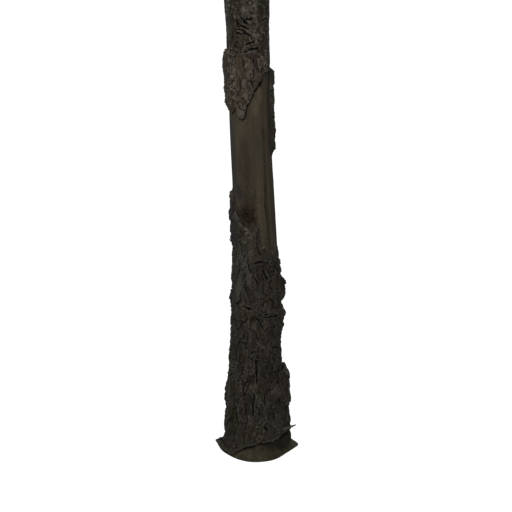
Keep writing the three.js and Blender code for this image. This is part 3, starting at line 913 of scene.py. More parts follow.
def plate_outline(plate):
    def outline(phi, z):
        side = np.minimum(turn_from(phi, plate.left), -turn_from(phi, plate.right)) * BARK_RADIUS
        end = np.minimum(z - plate.low, plate.high - z)
        corner = np.hypot(np.maximum(CORNER - side, 0), np.maximum(CORNER - end, 0))
        inside = np.where((side < CORNER) & (end < CORNER), CORNER - corner, np.minimum(side, end))
        return inside - 0.001 + torn(phi, z, plate.seed, 0.004, 0.0035)

    return outline


def plate_stand(plate, part=1.0):
    """How far the back of a plate, or a part of that, stands off the wood, from its lower end to its
    upper one. The side of a plate that faces the front still clings to the bark beneath."""

    def stand(phi, z, inside):
        share = smooth(plate.low, plate.high, z)
        from_front = turn_from(phi, plate.left) if plate.left > 0 else -turn_from(phi, plate.right)
        loose = 0.4 + 0.6 * smooth(0, 0.34, from_front)
        return part * ((plate.stand_low + (plate.stand_high - plate.stand_low) * share) * loose)

    return stand


def loose_plates():
    for plate in LOOSE_PLATES:
        cover = thick_cover(plate.thick, THICK, plate.seed, plate_stand(plate), edge_thin=0.45)
        span = (plate.left - 8, plate.right + 8, plate.low - 0.02, plate.high + 0.02)
        yield Sheet(
            plate.name, plate.nodes, "thick_bark", span, None, plate_outline(plate), cover,
            plate_stand(plate, 0.55), 4, 0.003, CELL,
        )


def left_flap():
    """A flap of bark that curls away from the root flare at the left."""

    def outline(phi, z):
        side = np.minimum(turn_from(phi, -98), -turn_from(phi, -64)) * 0.2
        top = 0.033 - 0.017 * smooth(-76, -92, np.degrees(phi)) - z
        return np.minimum(side, np.minimum(z - 0.006, top)) + torn(phi, z, 650, 0.003, 0.003)

    def outer(phi, z, inside):
        middle = np.exp(-((turn_from(phi, -86) / 0.24) ** 2))
        return 0.004 + 0.042 * middle * smooth(0.002, 0.032, z)

    def inner(phi, z, inside):
        return 0.35 * outer(phi, z, inside) - 0.002

    return Sheet(
        "left_foot_flap", (), "thick_bark", (-116, -56, 0.004, 0.075), None, outline,
        thick_cover(0.015, THICK, 655, outer, edge_thin=0.3), inner, 4, 0.001, 0.0028,
    )


def upper_outline(phi, z):
    rough = torn(phi, z, *UPPER_RAGS)
    sides = np.maximum(-turn_from(phi, 64), turn_from(phi, 132)) * BARK_RADIUS
    return np.minimum(between(phi, z, UPPER_FOOT, UPPER_TOP, rough), sides + rough)


def strip_outline(phi, z):
    rough = torn(phi, z, 440, 0.004, 0.003)
    front = np.interp(z, [1.72, 1.80, 1.86, 2.01, 2.18], [66, 67, 70, 72, 75])
    side = (np.degrees(phi) - front) * math.radians(1) * BARK_RADIUS
    back = -turn_from(phi, 129) * BARK_RADIUS
    ends = np.minimum(STRIP_TOP - z, -below(STRIP_FOOT, phi, z))
    return np.minimum(np.minimum(ends, side), back) + rough


def edge_lift(phi, z, inside):
    """Lets the right-hand edge of the front tongue curl off the wood."""
    near = smooth(-22, -8, np.degrees(phi)) * (1 - smooth(62, 74, np.degrees(phi)))
    low = 1 - smooth(2.15, 2.19, z)
    return 0.0070 * near * low * (1 - smooth(0, 0.034, inside)) ** 1.5


def ledged(z):
    """The upper bark ends in a full ledge at its top and feathers out everywhere else."""
    return 0.6 - 0.5 * smooth(2.19, 2.23, z)


def upper_bark():
    cover = thick_cover(UPPER_THICKNESS, SCALY, 200, edge_lift, UPPER_CRACKS, (), ledged)
    parts = [
        ("upper_bark_front", -63, 80, 1.88, 2.27, "bark_upper_front", "bark_upper_right"),
        ("upper_bark_left", -129, -63, 1.88, 2.27, "bark_upper_left"),
        ("upper_bark_back", 120, 231, 1.88, 2.27, "bark_upper_back"),
    ]
    yield from side_by_side(
        parts, "thick_bark", upper_outline, cover, seat_over(edge_lift), 5, 0.003, CELL * 0.92
    )
    yield Sheet(
        "bark_strip", ("bark_strip_right",), "thick_bark", (50, 134, 1.70, 2.19), None, strip_outline,
        thick_cover(UPPER_THICKNESS, SCALY, 230, edge_thin=0.8), seat_over(), 5, 0.003, CELL * 0.92,
    )


# ---- Thin inner bark ----

# Each slit: width, then its two ends in degrees and height.
SLITS = [
    (0.0068, (-1, 2.403), (13, 2.401)), (0.0072, (-14, 2.408), (-2, 2.383)),
    (0.0077, (-10, 2.392), (-6, 2.384)), (0.0089, (-29, 2.393), (-23, 2.379)),
    (0.0056, (-30, 2.37), (-22, 2.366)), (0.0058, (-18, 2.372), (4, 2.356)),
    (0.0052, (-26, 2.357), (-6, 2.345)), (0.0084, (-10, 2.34), (5, 2.328)),
    (0.0052, (-31, 2.338), (-15, 2.332)), (0.0068, (-3, 2.284), (20, 2.297)),
    (0.0081, (4, 2.259), (28, 2.264)), (0.008, (-28, 2.4), (-26, 2.388)),
    (0.007, (-29, 2.382), (-28, 2.372)), (0.007, (-6, 2.398), (-3, 2.388)),
    (0.0065, (-36, 2.277), (-28, 2.268)), (0.0081, (-78, 2.388), (-70, 2.378)),
    (0.0056, (48, 2.398), (60, 2.41)), (0.0049, (60, 2.372), (66, 2.366)),
    (0.0065, (140, 2.42), (156, 2.41)), (0.0065, (165, 2.37), (190, 2.38)),
    (0.0061, (205, 2.46), (226, 2.45)), (0.0065, (178, 2.32), (198, 2.31)),
    (0.0061, (-120, 2.5), (-104, 2.49)), (0.0061, (100, 2.46), (118, 2.47)),
]
SLIT_DEPTH = 0.009
SLIT_CRACKS = [(width, SLIT_DEPTH, *ends) for width, *ends in SLITS]
THIN_PALE_EDGES = [
    (0.005, 0.002, (20, 2.372), (24, 2.345), (23, 2.3)),
    (0.005, 0.002, (10, 2.418), (24, 2.412), (28, 2.386)),
]


def thin_outline(phi, z):
    rough = torn(phi, z, 450, 0.005, 0.003)
    jagged = 0.022 * fractal(phi, 0.3 * z, 0.045, 455, 4)
    return np.minimum(below(THIN_TOP, phi, z) + jagged, -below(THIN_FOOT, phi, z)) + rough


def front_thin_outline(phi, z):
    top = below(FRONT_THIN_TOP, phi, z)
    foot = 0.012 - below(LOWER_TOP, phi, z)
    side = np.minimum(turn_from(phi, 7), -turn_from(phi, 98)) * BARK_RADIUS
    return np.minimum(np.minimum(top, foot), side) + torn(phi, z, 480, 0.006, 0.005)


def hollow_thin_outline(phi, z):
    """The patch of smooth inner bark in the notch between the left slab and the front chip."""
    foot = 0.016 - below(LOWER_TOP, phi, z)
    side = np.minimum(turn_from(phi, -38), -turn_from(phi, -4)) * BARK_RADIUS
    top = 1.332 + 0.02 * smooth(-18, -30, np.degrees(phi)) - z
    return np.minimum(np.minimum(top, foot), side) + torn(phi, z, 490, 0.007, 0.004)


def smooth_thin_cover(phi, z, inside):
    lumps = 0.0007 * fractal(phi, z, 0.03, 341, 4, 2.0)
    # A slight painted shade over the whole patch.
    marks = {"tone": 0.3 + 0.4 * fractal(phi, z, 0.03, 351, 3), "cavity": 0.15, "hue": 0.3, "rough": 0.6}
    return 0.0034 * (0.7 + 0.3 * smooth(0, 0.012, inside)) + lumps, marks


def inner_bark():
    cover = thick_cover(0.0088, THIN, 300, nothing, SLIT_CRACKS, THIN_PALE_EDGES, 0.4, 0.0012)
    parts = [
        ("inner_bark_top_front", -89, 42, 2.15, 2.66, "inner_bark_upper_front"),
        ("inner_bark_top_right", 42, 130, 2.15, 2.66, "inner_bark_upper_right"),
        ("inner_bark_top_back", 130, 271, 2.15, 2.66, "inner_bark_upper_back"),
    ]
    yield from side_by_side(
        parts, "inner_bark", thin_outline, cover, seat_over(), 2, 0.0015, CELL * 0.88
    )
    yield Sheet(
        "inner_bark_shoulder", ("inner_bark_front",), "inner_bark", (6, 104, 1.09, 1.28), None,
        front_thin_outline, thick_cover(0.0075, THIN, 360, edge_thin=0.4, least=0.002), seat_over(),
        2, 0.0012, CELL,
    )
    yield Sheet(
        "inner_bark_notch", (), "inner_bark", (-44, 2, 1.25, 1.37), None, hollow_thin_outline,
        smooth_thin_cover, seat_over(), 2, 0.001, CELL,
    )


# ---- Knots ----

Knot = namedtuple("Knot", "name nodes at z half_angle half_height")
KNOTS = [
    Knot("knot_scar_front", ("knot_front",), -20, 1.410, 22, 0.043),
    Knot("knot_scar_back", ("knot_back",), 114, 1.575, 13, 0.032),
]


def knot_sheet(knot):
    def away(phi, z):
        turned = turn_from(phi, knot.at) / math.radians(knot.half_angle)
        return np.hypot(turned, (z - knot.z) / knot.half_height)

    def outline(phi, z):
        return (1 - away(phi, z)) * 0.03 + torn(phi, z, 620, 0.010, 0.007)

    def cover(phi, z, inside):
        reach = away(phi, z) + 0.30 * fractal(phi, z, 0.03, 631, 3)
        swirl = 0.5 + 0.5 * np.cos(13 * reach + 3.0 * fractal(phi, z, 0.022, 633, 3))
        lumps = np.abs(fractal(phi, z, 0.016, 635, 3))
        body = smooth(0, 0.012, inside)
        height = 0.0008 + body * (0.0008 + 0.0034 * swirl + 0.0030 * lumps)
        # Painted shade in the creases of the swirl, and darker towards the knot's heart.
        creases = np.maximum(0.8 * (1 - smooth(0.02, 0.30, swirl)), 0.6 * (1 - smooth(0.0, 0.22, lumps)))
        heart = 0.5 * (1 - smooth(0.1, 0.4, reach))
        marks = {
            "cavity": np.maximum(creases * (0.3 + 0.7 * body), heart),
            "warm": 0.55 * body,
            "tone": 0.26 + 0.4 * lumps + 0.3 * swirl,
            "hue": 0.35,
            "edge": 0.5 * body * smooth(0.8, 1.0, swirl) * smooth(0.2, 0.6, lumps),
        }
        return height, marks

    wide, tall = knot.half_angle * 1.5, knot.half_height * 1.5
    span = (knot.at - wide, knot.at + wide, knot.z - tall, knot.z + tall)
    return Sheet(
        knot.name, knot.nodes, "knot_wood", span, None, outline, cover, seat_over(), 2, 0.001, 0.0024
    )


# ---- Bare wood ----

WOOD_CHECKS = [
    (0.0022, 0.003, (42, 1.755), (40, 1.66), (36.5, 1.545)),
    (0.0052, 0.006, (36.5, 1.56), (33, 1.454), (36, 1.405), (39, 1.321), (40, 1.225)),
    (0.003, 0.003, (-112, 1.86), (-108, 1.73), (-111, 1.6)),
    (0.004, 0.005, (140, 1.9), (134, 1.7), (138, 1.46), (133, 1.28)),
    (0.0035, 0.004, (-145, 1.88), (-150, 1.7), (-146, 1.5)),
    (0.003, 0.003, (96, 1.66), (93, 1.5), (97, 1.3)),
    (0.004, 0.004, (4, 1.345), (2, 1.37), (-2, 1.392)), (0.009, 0.004, (9, 1.318), (6, 1.336)),
]

# Stains of the bare wood: strength, degrees, height, half angle, half height.
WOOD_PATCHES = {
    "warm": [
        (1.0, -20, 1.414, 31, 0.08), (0.55, -33, 1.56, 9, 0.07), (0.3, -34, 1.72, 6, 0.1),
        (0.8, 62, 1.33, 13, 0.07), (0.5, 58, 1.22, 10, 0.06), (0.3, 34, 1.86, 12, 0.04),
        (0.5, 114, 1.575, 20, 0.05), (0.35, 30, 0.02, 10, 0.014), (0.6, -20, 1.7, 22, 0.13),
    ],
    "rough": [
        (1.0, -28, 1.385, 34, 0.085), (0.6, -14, 1.52, 24, 0.06), (0.5, 20, 1.4, 30, 0.15),
        (0.8, 40, 1.845, 9, 0.03), (0.5, 0, 0.03, 60, 0.05),
    ],
    "cool": [
        (0.9, -74, 1.7, 32, 0.3), (0.6, 74, 2.05, 20, 0.2), (0.7, -42, 1.53, 16, 0.06),
    ],
    "lichen": [
        (0.5, -6, 1.8, 10, 0.05), (0.25, 2, 1.47, 9, 0.06), (0.5, 46, 1.44, 7, 0.14),
    ],
}
# Where the wood is darker or lighter than the rest, with what is added to its tone first.
TONES = [
    (-0.34, -32, 1.385, 32, 0.09), (-0.12, -22, 1.47, 26, 0.06), (-0.1, -34, 1.58, 14, 0.12),
    (-0.16, 40, 1.84, 10, 0.035), (0.28, 14, 1.97, 11, 0.045), (0.28, 32, 2.04, 11, 0.05),
    (-0.2, -42, 1.53, 13, 0.05), (-0.4, 8.5, 1.325, 5, 0.024), (-0.1, -20, 1.7, 22, 0.12),
    (-0.22, 68, 1.95, 13, 0.22), (-0.18, 78, 1.5, 24, 0.4), (-0.12, -78, 1.7, 22, 0.3),
    (-0.1, -6, 1.62, 9, 0.14), (-0.05, -2, 1.4, 9, 0.1), (0.16, 16, 1.47, 9, 0.28),
    (0.1, -14, 1.88, 20, 0.07), (0.1, 10, 1.98, 16, 0.09), (-0.14, 38, 1.62, 6, 0.34),
    (0.12, 46, 1.5, 5, 0.2), (-0.1, 20, 1.78, 8, 0.03), (-0.6, 62, 0.06, 22, 0.045),
    (-0.3, 34, 0.06, 16, 0.03), (-0.2, 24, 0.075, 12, 0.02), (0.26, 84, 0.01, 11, 0.022),
    (0.2, -20, 0.028, 18, 0.03), (0.12, 12, 0.025, 14, 0.025), (-0.2, -4, 0.04, 4, 0.04),
    (-0.08, 10, 0.03, 80, 0.06),
]
SHORT_CHECKS = 70


def short_checks(phi, z):
    """Many short upright drying marks scattered over the bare wood."""
    rng = np.random.default_rng(77)
    dark = np.zeros(phi.shape)
    for _ in range(SHORT_CHECKS):
        degrees, height = rng.uniform(-180, 180), rng.uniform(1.25, 2.15)
        length, tilt = 0.005 + 0.07 * rng.random() ** 2, rng.uniform(-1.2, 1.2)
        near = (np.abs(z - height) < 0.08) & (np.abs(turn_from(phi, degrees)) < 0.15)
        if near.any():
            points = [(degrees, height), (degrees + tilt, height + length)]
            away = line_distance(phi[near], z[near], points)
            dark[near] = np.maximum(dark[near], 1 - smooth(0.0008, 0.0034, away))
    return dark


FOOT_SHADOW = [
    (-50, 0.006), (-36, 0.013), (-28, 0.022), (-6, 0.022), (0, 0.014), (6, 0.020), (14, 0.025),
    (34, 0.025), (46, 0.026), (58, 0.027), (76, 0.030), (92, 0.016), (120, 0.012), (240, 0.010),
]


def edge_shadow(table, phi, z, level_reach, upright_reach):
    """How dark the wood is next to a torn edge of bark. Under a level edge the shadow reaches
    further than beside an upright one."""
    level = 1 / (1 + steepness(table, phi, 1.5) ** 2)
    away = line_distance(phi, z, table) + 0.003 * fractal(phi, z, 0.02, 471, 3)
    reach = upright_reach + (level_reach - upright_reach) * level
    return smooth(reach + 0.004, reach - 0.002, away)


def bark_shadow(phi, z):
    """How dark the wood is where a torn edge of bark stands over it, and how close bark is."""
    lower = between(phi, z, LOWER_FOOT, LOWER_TOP, torn(phi, z, 410))
    upper = between(phi, z, UPPER_FOOT, UPPER_TOP, torn(phi, z, *UPPER_RAGS))
    foot_dark = edge_shadow(LOWER_FOOT, phi, z, round_the_trunk(FOOT_SHADOW, phi), 0.004) * (z < 0.3)
    top_dark = (0.1 + 0.4 * smooth(1.385, 1.36, z)) * smooth(-0.008, -0.002, lower) * (z > 0.3)
    # The bark's lip hides the wood beside it, and more of it further round to the right.
    overhang = 0.046 * np.maximum(np.sin(phi), 0) * (np.cos(phi) > 0)
    tongue_dark = edge_shadow(UPPER_FOOT, phi, z, 0.008, 0.006 + overhang) * (z > 1.8)
    dark = np.maximum(np.maximum(foot_dark, top_dark), tongue_dark)
    nearest = np.maximum(lower, upper)
    return dark, smooth(-0.035, -0.006, nearest) * smooth(0.006, 0.0, nearest)


def wood_marks(phi, z):
    """Relief and marks of the bare wood: upright grain, drying checks, stains, root lobes, and the shade
    painted in the checks and under the bark's torn edges.
    """
    grain = fractal(phi, z, 0.0075, 21, 3, 38)
    flutes = fractal(phi, z, 0.034, 31, 2, 14)
    depth, dark = grooves(phi, z, WOOD_CHECKS)
    ticks = short_checks(phi, z)
    near_ground = np.exp(-z / 0.09)
    folds = fractal(phi, z, 0.05, 41, 3, 1.6)
    height = 0.00055 * grain + 0.0011 * flutes - depth - 0.0012 * ticks
    height = height + near_ground * (0.0045 * folds + 0.0012 * fractal(phi, z, 0.012, 43, 3))
    ragged = fractal(phi, z, 0.045, 51, 4, 2.2)
    marks = {mark: strongest(phi, z, patches, ragged) for mark, patches in WOOD_PATCHES.items()}
    coarse = fractal(phi, z, 0.020, 53, 3, 1.5)
    height = height + marks["rough"] * 0.0022 * coarse * smooth(0.2, 0.5, z)
    under, close = bark_shadow(phi, z)
    tone = 0.5 + 0.10 * grain + 0.08 * flutes + 0.10 * near_ground * folds
    tone = tone + 0.22 * marks["rough"] * coarse
    for strength, *spot in TONES:
        tone = tone + strength * blob(phi, z, spot, 0.8 * ragged)
    soft_dark = 0.85 * dark * (1 - near_ground * 0.5)
    # Painted shade: the shadow under the bark's torn edges, and shade in the checks and short checks.
    marks["cavity"] = np.clip(np.maximum(np.maximum(soft_dark, 0.45 * ticks), under), 0, 1)
    marks["tone"] = np.clip(tone, 0, 1)
    marks["crumbs"] = close * smooth(0.25, 0.4, z)
    marks["edge"] = 0.9 * np.exp(-z / 0.11)
    return height, marks


def rim_height(phi):
    rise = RIM_HEIGHT
    for tongue in TONGUES:
        away = turn_from(phi, tongue.at) / math.radians(tongue.width)
        rise = rise + tongue.rise * np.exp(-away * away)
    return rise


WOOD_COLUMNS = 240
WOOD_BANDS = [(0.0, 0.004), (0.13, 0.004), (0.14, 0.04), (1.04, 0.04), (1.10, 0.005), (2.24, 0.005),
              (2.26, 0.02), (2.50, 0.02), (2.54, 0.005)]
SIDE_TOP = 2.56
BREAK_ROWS = 46
BREAK_RINGS = 26


def wood_heights():
    """Heights of the rows of the wood's mesh: close where the wood shows, wide under the bark."""
    heights, z = [0.0], 0.0
    levels, steps = zip(*WOOD_BANDS)
    while z < SIDE_TOP:
        z += float(np.interp(z, levels, steps))
        heights.append(min(z, SIDE_TOP))
    return np.array(heights)


def broken_top(angles, rim):
    """The snapped face: rings that fall from the rim towards the pith, with upright fibres."""
    rings = np.linspace(1, 0, BREAK_RINGS + 1)[1:-1, None]
    phi = np.broadcast_to(angles, (len(rings), WOOD_COLUMNS))
    fibres = fractal(phi, 9 * rings + 0 * phi, 0.012, 81, 3, 12) * (0.35 + 0.65 * rings)
    coarse = fractal(phi, 3 * rings + 0 * phi, 0.05, 91, 3, 12)
    z = RIM_HEIGHT + (rim - RIM_HEIGHT) * rings**5.5 - HOLLOW_DEPTH * (1 - rings)
    z = z + 0.013 * fibres + 0.016 * coarse * rings
    marks = {"hue": 1.0, "tone": 0.5 + 0.35 * fibres}
    # Painted shade, deepest at the hollow round the pith.
    marks["cavity"] = np.clip(0.55 * (1 - rings) - 0.3 * fibres, 0, 1)
    return place(phi, z, wood_radius(phi, z) * rings), marks


def wood_faces(rows):
    """Quads between rows of nodes that go round the trunk, and a fan of triangles at each end."""
    column = np.arange(WOOD_COLUMNS)
    following = (column + 1) % WOOD_COLUMNS
    base = np.arange(rows - 1)[:, None] * WOOD_COLUMNS
    above = base + WOOD_COLUMNS
    quads = np.stack([base + column, base + following, above + following, above + column], axis=-1)
    last, pith, none = base[-1] + WOOD_COLUMNS, rows * WOOD_COLUMNS, np.full(WOOD_COLUMNS, -1)
    top = np.stack([last + column, last + following, 0 * column + pith, none], axis=1)
    foot = np.stack([following, column, 0 * column + pith + 1, none], axis=1)
    return np.concatenate([quads.reshape(-1, 4), top, foot])


def build_wood(material):
    angles = np.arange(WOOD_COLUMNS) / WOOD_COLUMNS * TURN
    fringe = 0.020 * fractal(angles, 0 * angles, 0.03, 61, 3)
    fringe = fringe + 0.022 * fractal(angles, 0 * angles, 0.009, 71, 2)
    rim = rim_height(angles) + fringe
    side_phi, side_z = np.meshgrid(angles, wood_heights())
    share = np.linspace(0, 1, BREAK_ROWS + 1)[1:, None]
    upper_z = SIDE_TOP + (rim - SIDE_TOP) * share
    phi = np.concatenate([side_phi, np.broadcast_to(angles, upper_z.shape)])
    z = np.concatenate([side_z, upper_z])
    height, marks = wood_marks(phi, z)
    radius = wood_radius(phi, z) + height * smooth(rim + 0.001, rim - 0.03, z)
    radius[0] = wood_radius(phi[0], z[0]) - 0.0015
    side = place(phi, z, radius)
    top, raw = broken_top(angles, rim)
    ends = place(np.zeros(2), np.array([RIM_HEIGHT - HOLLOW_DEPTH, 0.0]), 0.0)
    points = np.concatenate([side.reshape(-1, 3), top.reshape(-1, 3), ends])
    every = {}
    for key in MARKS:
        of_side = np.broadcast_to(marks.get(key, 0.0), side.shape[:2])
        of_top = np.broadcast_to(raw.get(key, 0.0), top.shape[:2])
        # Full painted shade at the two centre points.
        of_ends = np.full(2, 1.0 if key == "cavity" else 0.0)
        every[key] = np.concatenate([of_side.ravel(), of_top.ravel(), of_ends])
    piece = make_mesh("bare_wood_trunk", points, wood_faces(len(side) + len(top)), every, material)
    settle(piece, "bare_wood", ("trunk_wood",))


# ---- Materials ----


class Wire:
    """One output of a node. Arithmetic on wires adds Math nodes."""

    def __init__(self, nodes, socket):
        self.nodes, self.socket = nodes, socket

    def maths(self, operation, first, second, clamp=False):
        settings = {"operation": operation, "use_clamp": clamp}
        return self.nodes.node("ShaderNodeMath", settings, {0: first, 1: second})

    def __add__(self, other):
        return self.maths("ADD", self, other)

    def __sub__(self, other):
        return self.maths("SUBTRACT", self, other)

    def __rsub__(self, other):
        return self.maths("SUBTRACT", other, self)

    def __mul__(self, other):
        return self.maths("MULTIPLY", self, other)

    __radd__, __rmul__ = __add__, __mul__

    def ramp(self, low, high):
        """0 at low, 1 at high, smooth between."""
        settings = {"interpolation_type": "SMOOTHSTEP"}
        return self.nodes.node("ShaderNodeMapRange", settings, {0: self, 1: low, 2: high})

    def clamped(self):
        return self.maths("ADD", self, 0.0, clamp=True)

    def sibling(self, output):
        """Another output of the same node."""
        return Wire(self.nodes, self.socket.node.outputs[output])


class Nodes:
    """A node tree, with one method that adds a node."""

    def __init__(self, tree):
        self.tree = tree
        tree.nodes.clear()

    def node(self, kind, settings=None, inputs=None, output=0):
        made = self.tree.nodes.new(kind)
        for name, value in (settings or {}).items():
            setattr(made, name, value)
        for key, value in (inputs or {}).items():
            if isinstance(value, Wire):
                self.tree.links.new(value.socket, made.inputs[key])
            else:
                made.inputs[key].default_value = value
        return Wire(self, made.outputs[output]) if made.outputs else None

    def mark(self, name):
        return self.node("ShaderNodeAttribute", {"attribute_name": name}, output="Fac")

    def noise(self, scale, detail, vector, roughness=0.55):
        inputs = {"Scale": scale, "Detail": detail, "Roughness": roughness, "Vector": vector}
        return self.node("ShaderNodeTexNoise", {}, inputs, "Fac")

    def place(self, upright=1.0):
        """The place on the piece, with its height shrunk so that patterns run up the trunk."""
        coordinates = self.node("ShaderNodeTexCoord", output="Object")
        return self.node("ShaderNodeMapping", {}, {"Vector": coordinates, "Scale": (1.0, 1.0, upright)})

    def mix(self, share, first, second, blend="MIX"):
        first, second = (end if isinstance(end, Wire) else (*end, 1.0) for end in (first, second))
        settings = {"data_type": "RGBA", "blend_type": blend}
        return self.node("ShaderNodeMix", settings, {0: share, 6: first, 7: second}, 2)

    def layered(self, colour, layers):
        """A colour with others laid over it in turn, each by its share."""
        for share, tint in layers:
            colour = self.mix(share, colour, tint)
        return colour

    def finish(self, colour, roughness, height, distance, strength):
        raised = {"Height": height, "Distance": distance, "Strength": strength}
        bump = self.node("ShaderNodeBump", {}, raised, "Normal")
        sockets = {"Base Color": colour, "Roughness": roughness, "Normal": bump, "Specular IOR Level": 0.25}
        shader = self.node("ShaderNodeBsdfPrincipled", {}, sockets, "BSDF")
        self.node("ShaderNodeOutputMaterial", {}, {"Surface": shader})


def new_material(name):
    material = bpy.data.materials.get(name) or bpy.data.materials.new(name)
    material.use_nodes = True
    return material, Nodes(material.node_tree)


def shade(colour, factor):
    return tuple(channel * factor for channel in colour)


def wood_material(settings):
    """Weathered wood: bands and streaks along the grain, stains, the olive foot, the paler wood of the
    snapped top, and near-black painted shade under the bark's torn edges, in the checks and in the snapped
    top's hollow."""
    material, nodes = new_material("weathered_wood")
    base = tuple(settings.wood_colour)
    cavity, tone, warm, lichen = (nodes.mark(key) for key in ("cavity", "tone", "warm", "lichen"))
    cool, foot, raw, rough = (nodes.mark(key) for key in ("cool", "edge", "hue", "rough"))
    grain = nodes.place(0.045)
    fine, streaks = nodes.noise(260.0, 3.0, grain), nodes.noise(60.0, 4.0, grain)
    blotches = nodes.noise(14.0, 4.0, nodes.place(0.35))
    specks = nodes.noise(95.0, 3.0, nodes.place(0.4))
    bands = nodes.noise(17.0, 3.0, nodes.place(0.05))
    colour = nodes.layered(base, (
        (bands.ramp(0.44, 0.30) * 0.42, (0.086, 0.062, 0.045)),
        (bands.ramp(0.55, 0.68) * 0.42, (0.150, 0.126, 0.090)),
        (streaks.ramp(0.36, 0.66) * 0.35, shade(base, 0.72)),
        (blotches.ramp(0.50, 0.66) * 0.5, (0.118, 0.098, 0.058)),
        (fine.ramp(0.55, 0.75) * 0.3, shade(base, 0.6)),
        (specks.ramp(0.62, 0.72) * 0.5, shade(base, 0.5)),
        (specks.ramp(0.36, 0.28) * 0.35, shade(base, 1.7)),
        (lichen * 0.6, (0.098, 0.098, 0.066)),
        (cool * 0.75, nodes.mix(streaks, (0.066, 0.061, 0.062), (0.096, 0.088, 0.087))),
        (warm * blotches.ramp(0.25, 0.5) * 0.75, (0.104, 0.068, 0.050)),
    ))
    shades = nodes.mix(tone, (0.36, 0.34, 0.32), (1.64, 1.66, 1.68))
    olive = nodes.layered(nodes.mix(tone, (0.020, 0.016, 0.009), (0.160, 0.150, 0.084)), (
        (blotches.ramp(0.50, 0.60) * 0.6, (0.060, 0.042, 0.022)),
        (specks.ramp(0.56, 0.66) * 0.75, (0.034, 0.030, 0.015)),
    ))
    colour = nodes.layered(nodes.mix(1.0, colour, shades, "MULTIPLY"), (
        (specks.ramp(0.56, 0.64) * rough * 0.8, (0.034, 0.024, 0.016)),
        (foot * 0.85, olive),
        (raw * 0.9, nodes.mix(tone, (0.050, 0.037, 0.025), (0.185, 0.148, 0.100))),
        # Near-black painted shade: the shadow under the bark's torn edges, the checks and the snapped top's
        # hollow.
        (cavity.clamped() * 0.94, (0.010, 0.008, 0.006)),
    ))
    height = fine * 0.5 + streaks * 0.7 + specks * 0.3 - cavity * 0.4
    nodes.finish(colour, fine * 0.12 + 0.68, height, 0.0016, 0.7)
    return material


PLATE_GREEN = 0.058
# The plates' tints, as shares of the base colour: purplish, brown, olive and grey-green.
TINTS = ((1.05, 1.0, 1.07), (1.12, 1.0, 0.90), (0.98, 1.01, 0.80), (0.90, 1.0, 1.02))


def bark_material(name, plate_colour, light_colour, flecks=1.0, shade_level=0.007, pits=0.8, fleck_scale=84.0):
    """Bark: near-black painted shade in fissures, hollows and under torn edges, plates that differ in tint
    and tone, clustered pale flecks, pale torn rims and proud lumps, the lumps as painted highlight, and
    moss, lichen and reddish patches."""
    material, nodes = new_material(name)
    cavity, tone, edge, hue, rough = (nodes.mark(key) for key in ("cavity", "tone", "edge", "hue", "rough"))
    moss, lichen, warm, cool = (nodes.mark(key) for key in ("moss", "lichen", "warm", "cool"))
    upright = nodes.place(0.6)
    cluster = nodes.noise(13.0, 3.0, upright)
    medium = nodes.noise(52.0, 5.0, upright, 0.65)
    grain = nodes.noise(75.0, 4.0, nodes.place(0.22), 0.6)
    speck = nodes.noise(fleck_scale, 4.0, nodes.place(), 0.66)
    fine = nodes.noise(300.0, 3.0, nodes.place(), 0.7)
    base, light = tuple(plate_colour), tuple(light_colour)
    lightness = base[1] / PLATE_GREEN
    tints = [tuple(a * b for a, b in zip(base, tint)) for tint in TINTS]
    colour = nodes.layered(tints[0], (
        (hue.ramp(0.22, 0.42), tints[1]),
        (hue.ramp(0.40, 0.58), tints[2]),
        (hue.ramp(0.60, 0.78), tints[3]),
    ))
    dark, bright = (nodes.mix(1.0, colour, (level, level, level), "MULTIPLY") for level in (0.64, 1.34))
    pitted = rough * 0.75 + 0.25
    flecked = cluster.ramp(0.47, 0.60) * speck.ramp(0.51, 0.60) * pitted * flecks
    mossy = (grain * 0.9 + fine * 0.5 + medium * 0.4).ramp(0.78, 1.0)
    colour = nodes.layered(dark, (
        ((tone * 0.75 + medium * 0.55).ramp(0.35, 0.95), bright),
        (grain.ramp(0.54, 0.70) * 0.4, shade(light, 1.35)),
        (grain.ramp(0.47, 0.34) * 0.5, shade(base, 0.42)),
        (speck.ramp(0.46, 0.36) * pitted * pits, shade(base, 0.26)),
        (lichen * (medium + fine).ramp(0.8, 1.15) * 0.7, (0.066, 0.078, 0.064)),
        (cool * 0.55, shade((0.066, 0.066, 0.070), lightness)),
        (warm * medium.ramp(0.25, 0.5) * 0.7, shade((0.072, 0.045, 0.038), lightness)),
        (flecked.clamped() * 0.9, shade(light, 2.5)),
        # Pale torn rims, and a painted highlight where the relief stands proud.
        ((edge * (speck * 1.3 + 0.1)).clamped(), shade(light, 2.2)),
        ((edge * (medium + 0.5)).ramp(0.8, 1.3) * 0.7, shade(light, 3.6)),
        (moss * mossy * 0.9, (0.056, 0.060, 0.015)),
        # Near-black painted shade in fissures, hollows and under the bark's edges.
        (cavity.ramp(0.08, 0.85) * 0.95, (shade_level * 1.3, shade_level, shade_level * 0.8)),
    ))
    height = medium * 0.8 + speck * 0.6 + fine * 0.35 + grain * 0.5
    nodes.finish(colour, fine * 0.1 + 0.82, height, 0.0040, 0.9)
    return material


# ---- Scattered chips and moss ----

CHIP_SEED, CHIP_ROWS, CHIP_COLUMNS = 10, 3, 2
SCATTER_INPUTS = (
    ("Geometry", "NodeSocketGeometry"), ("Shape", "NodeSocketObject"),
    ("Density", "NodeSocketFloat"), ("Smallest", "NodeSocketFloat"), ("Largest", "NodeSocketFloat"),
    ("Seed", "NodeSocketInt"), ("Finish", "NodeSocketMaterial"),
)


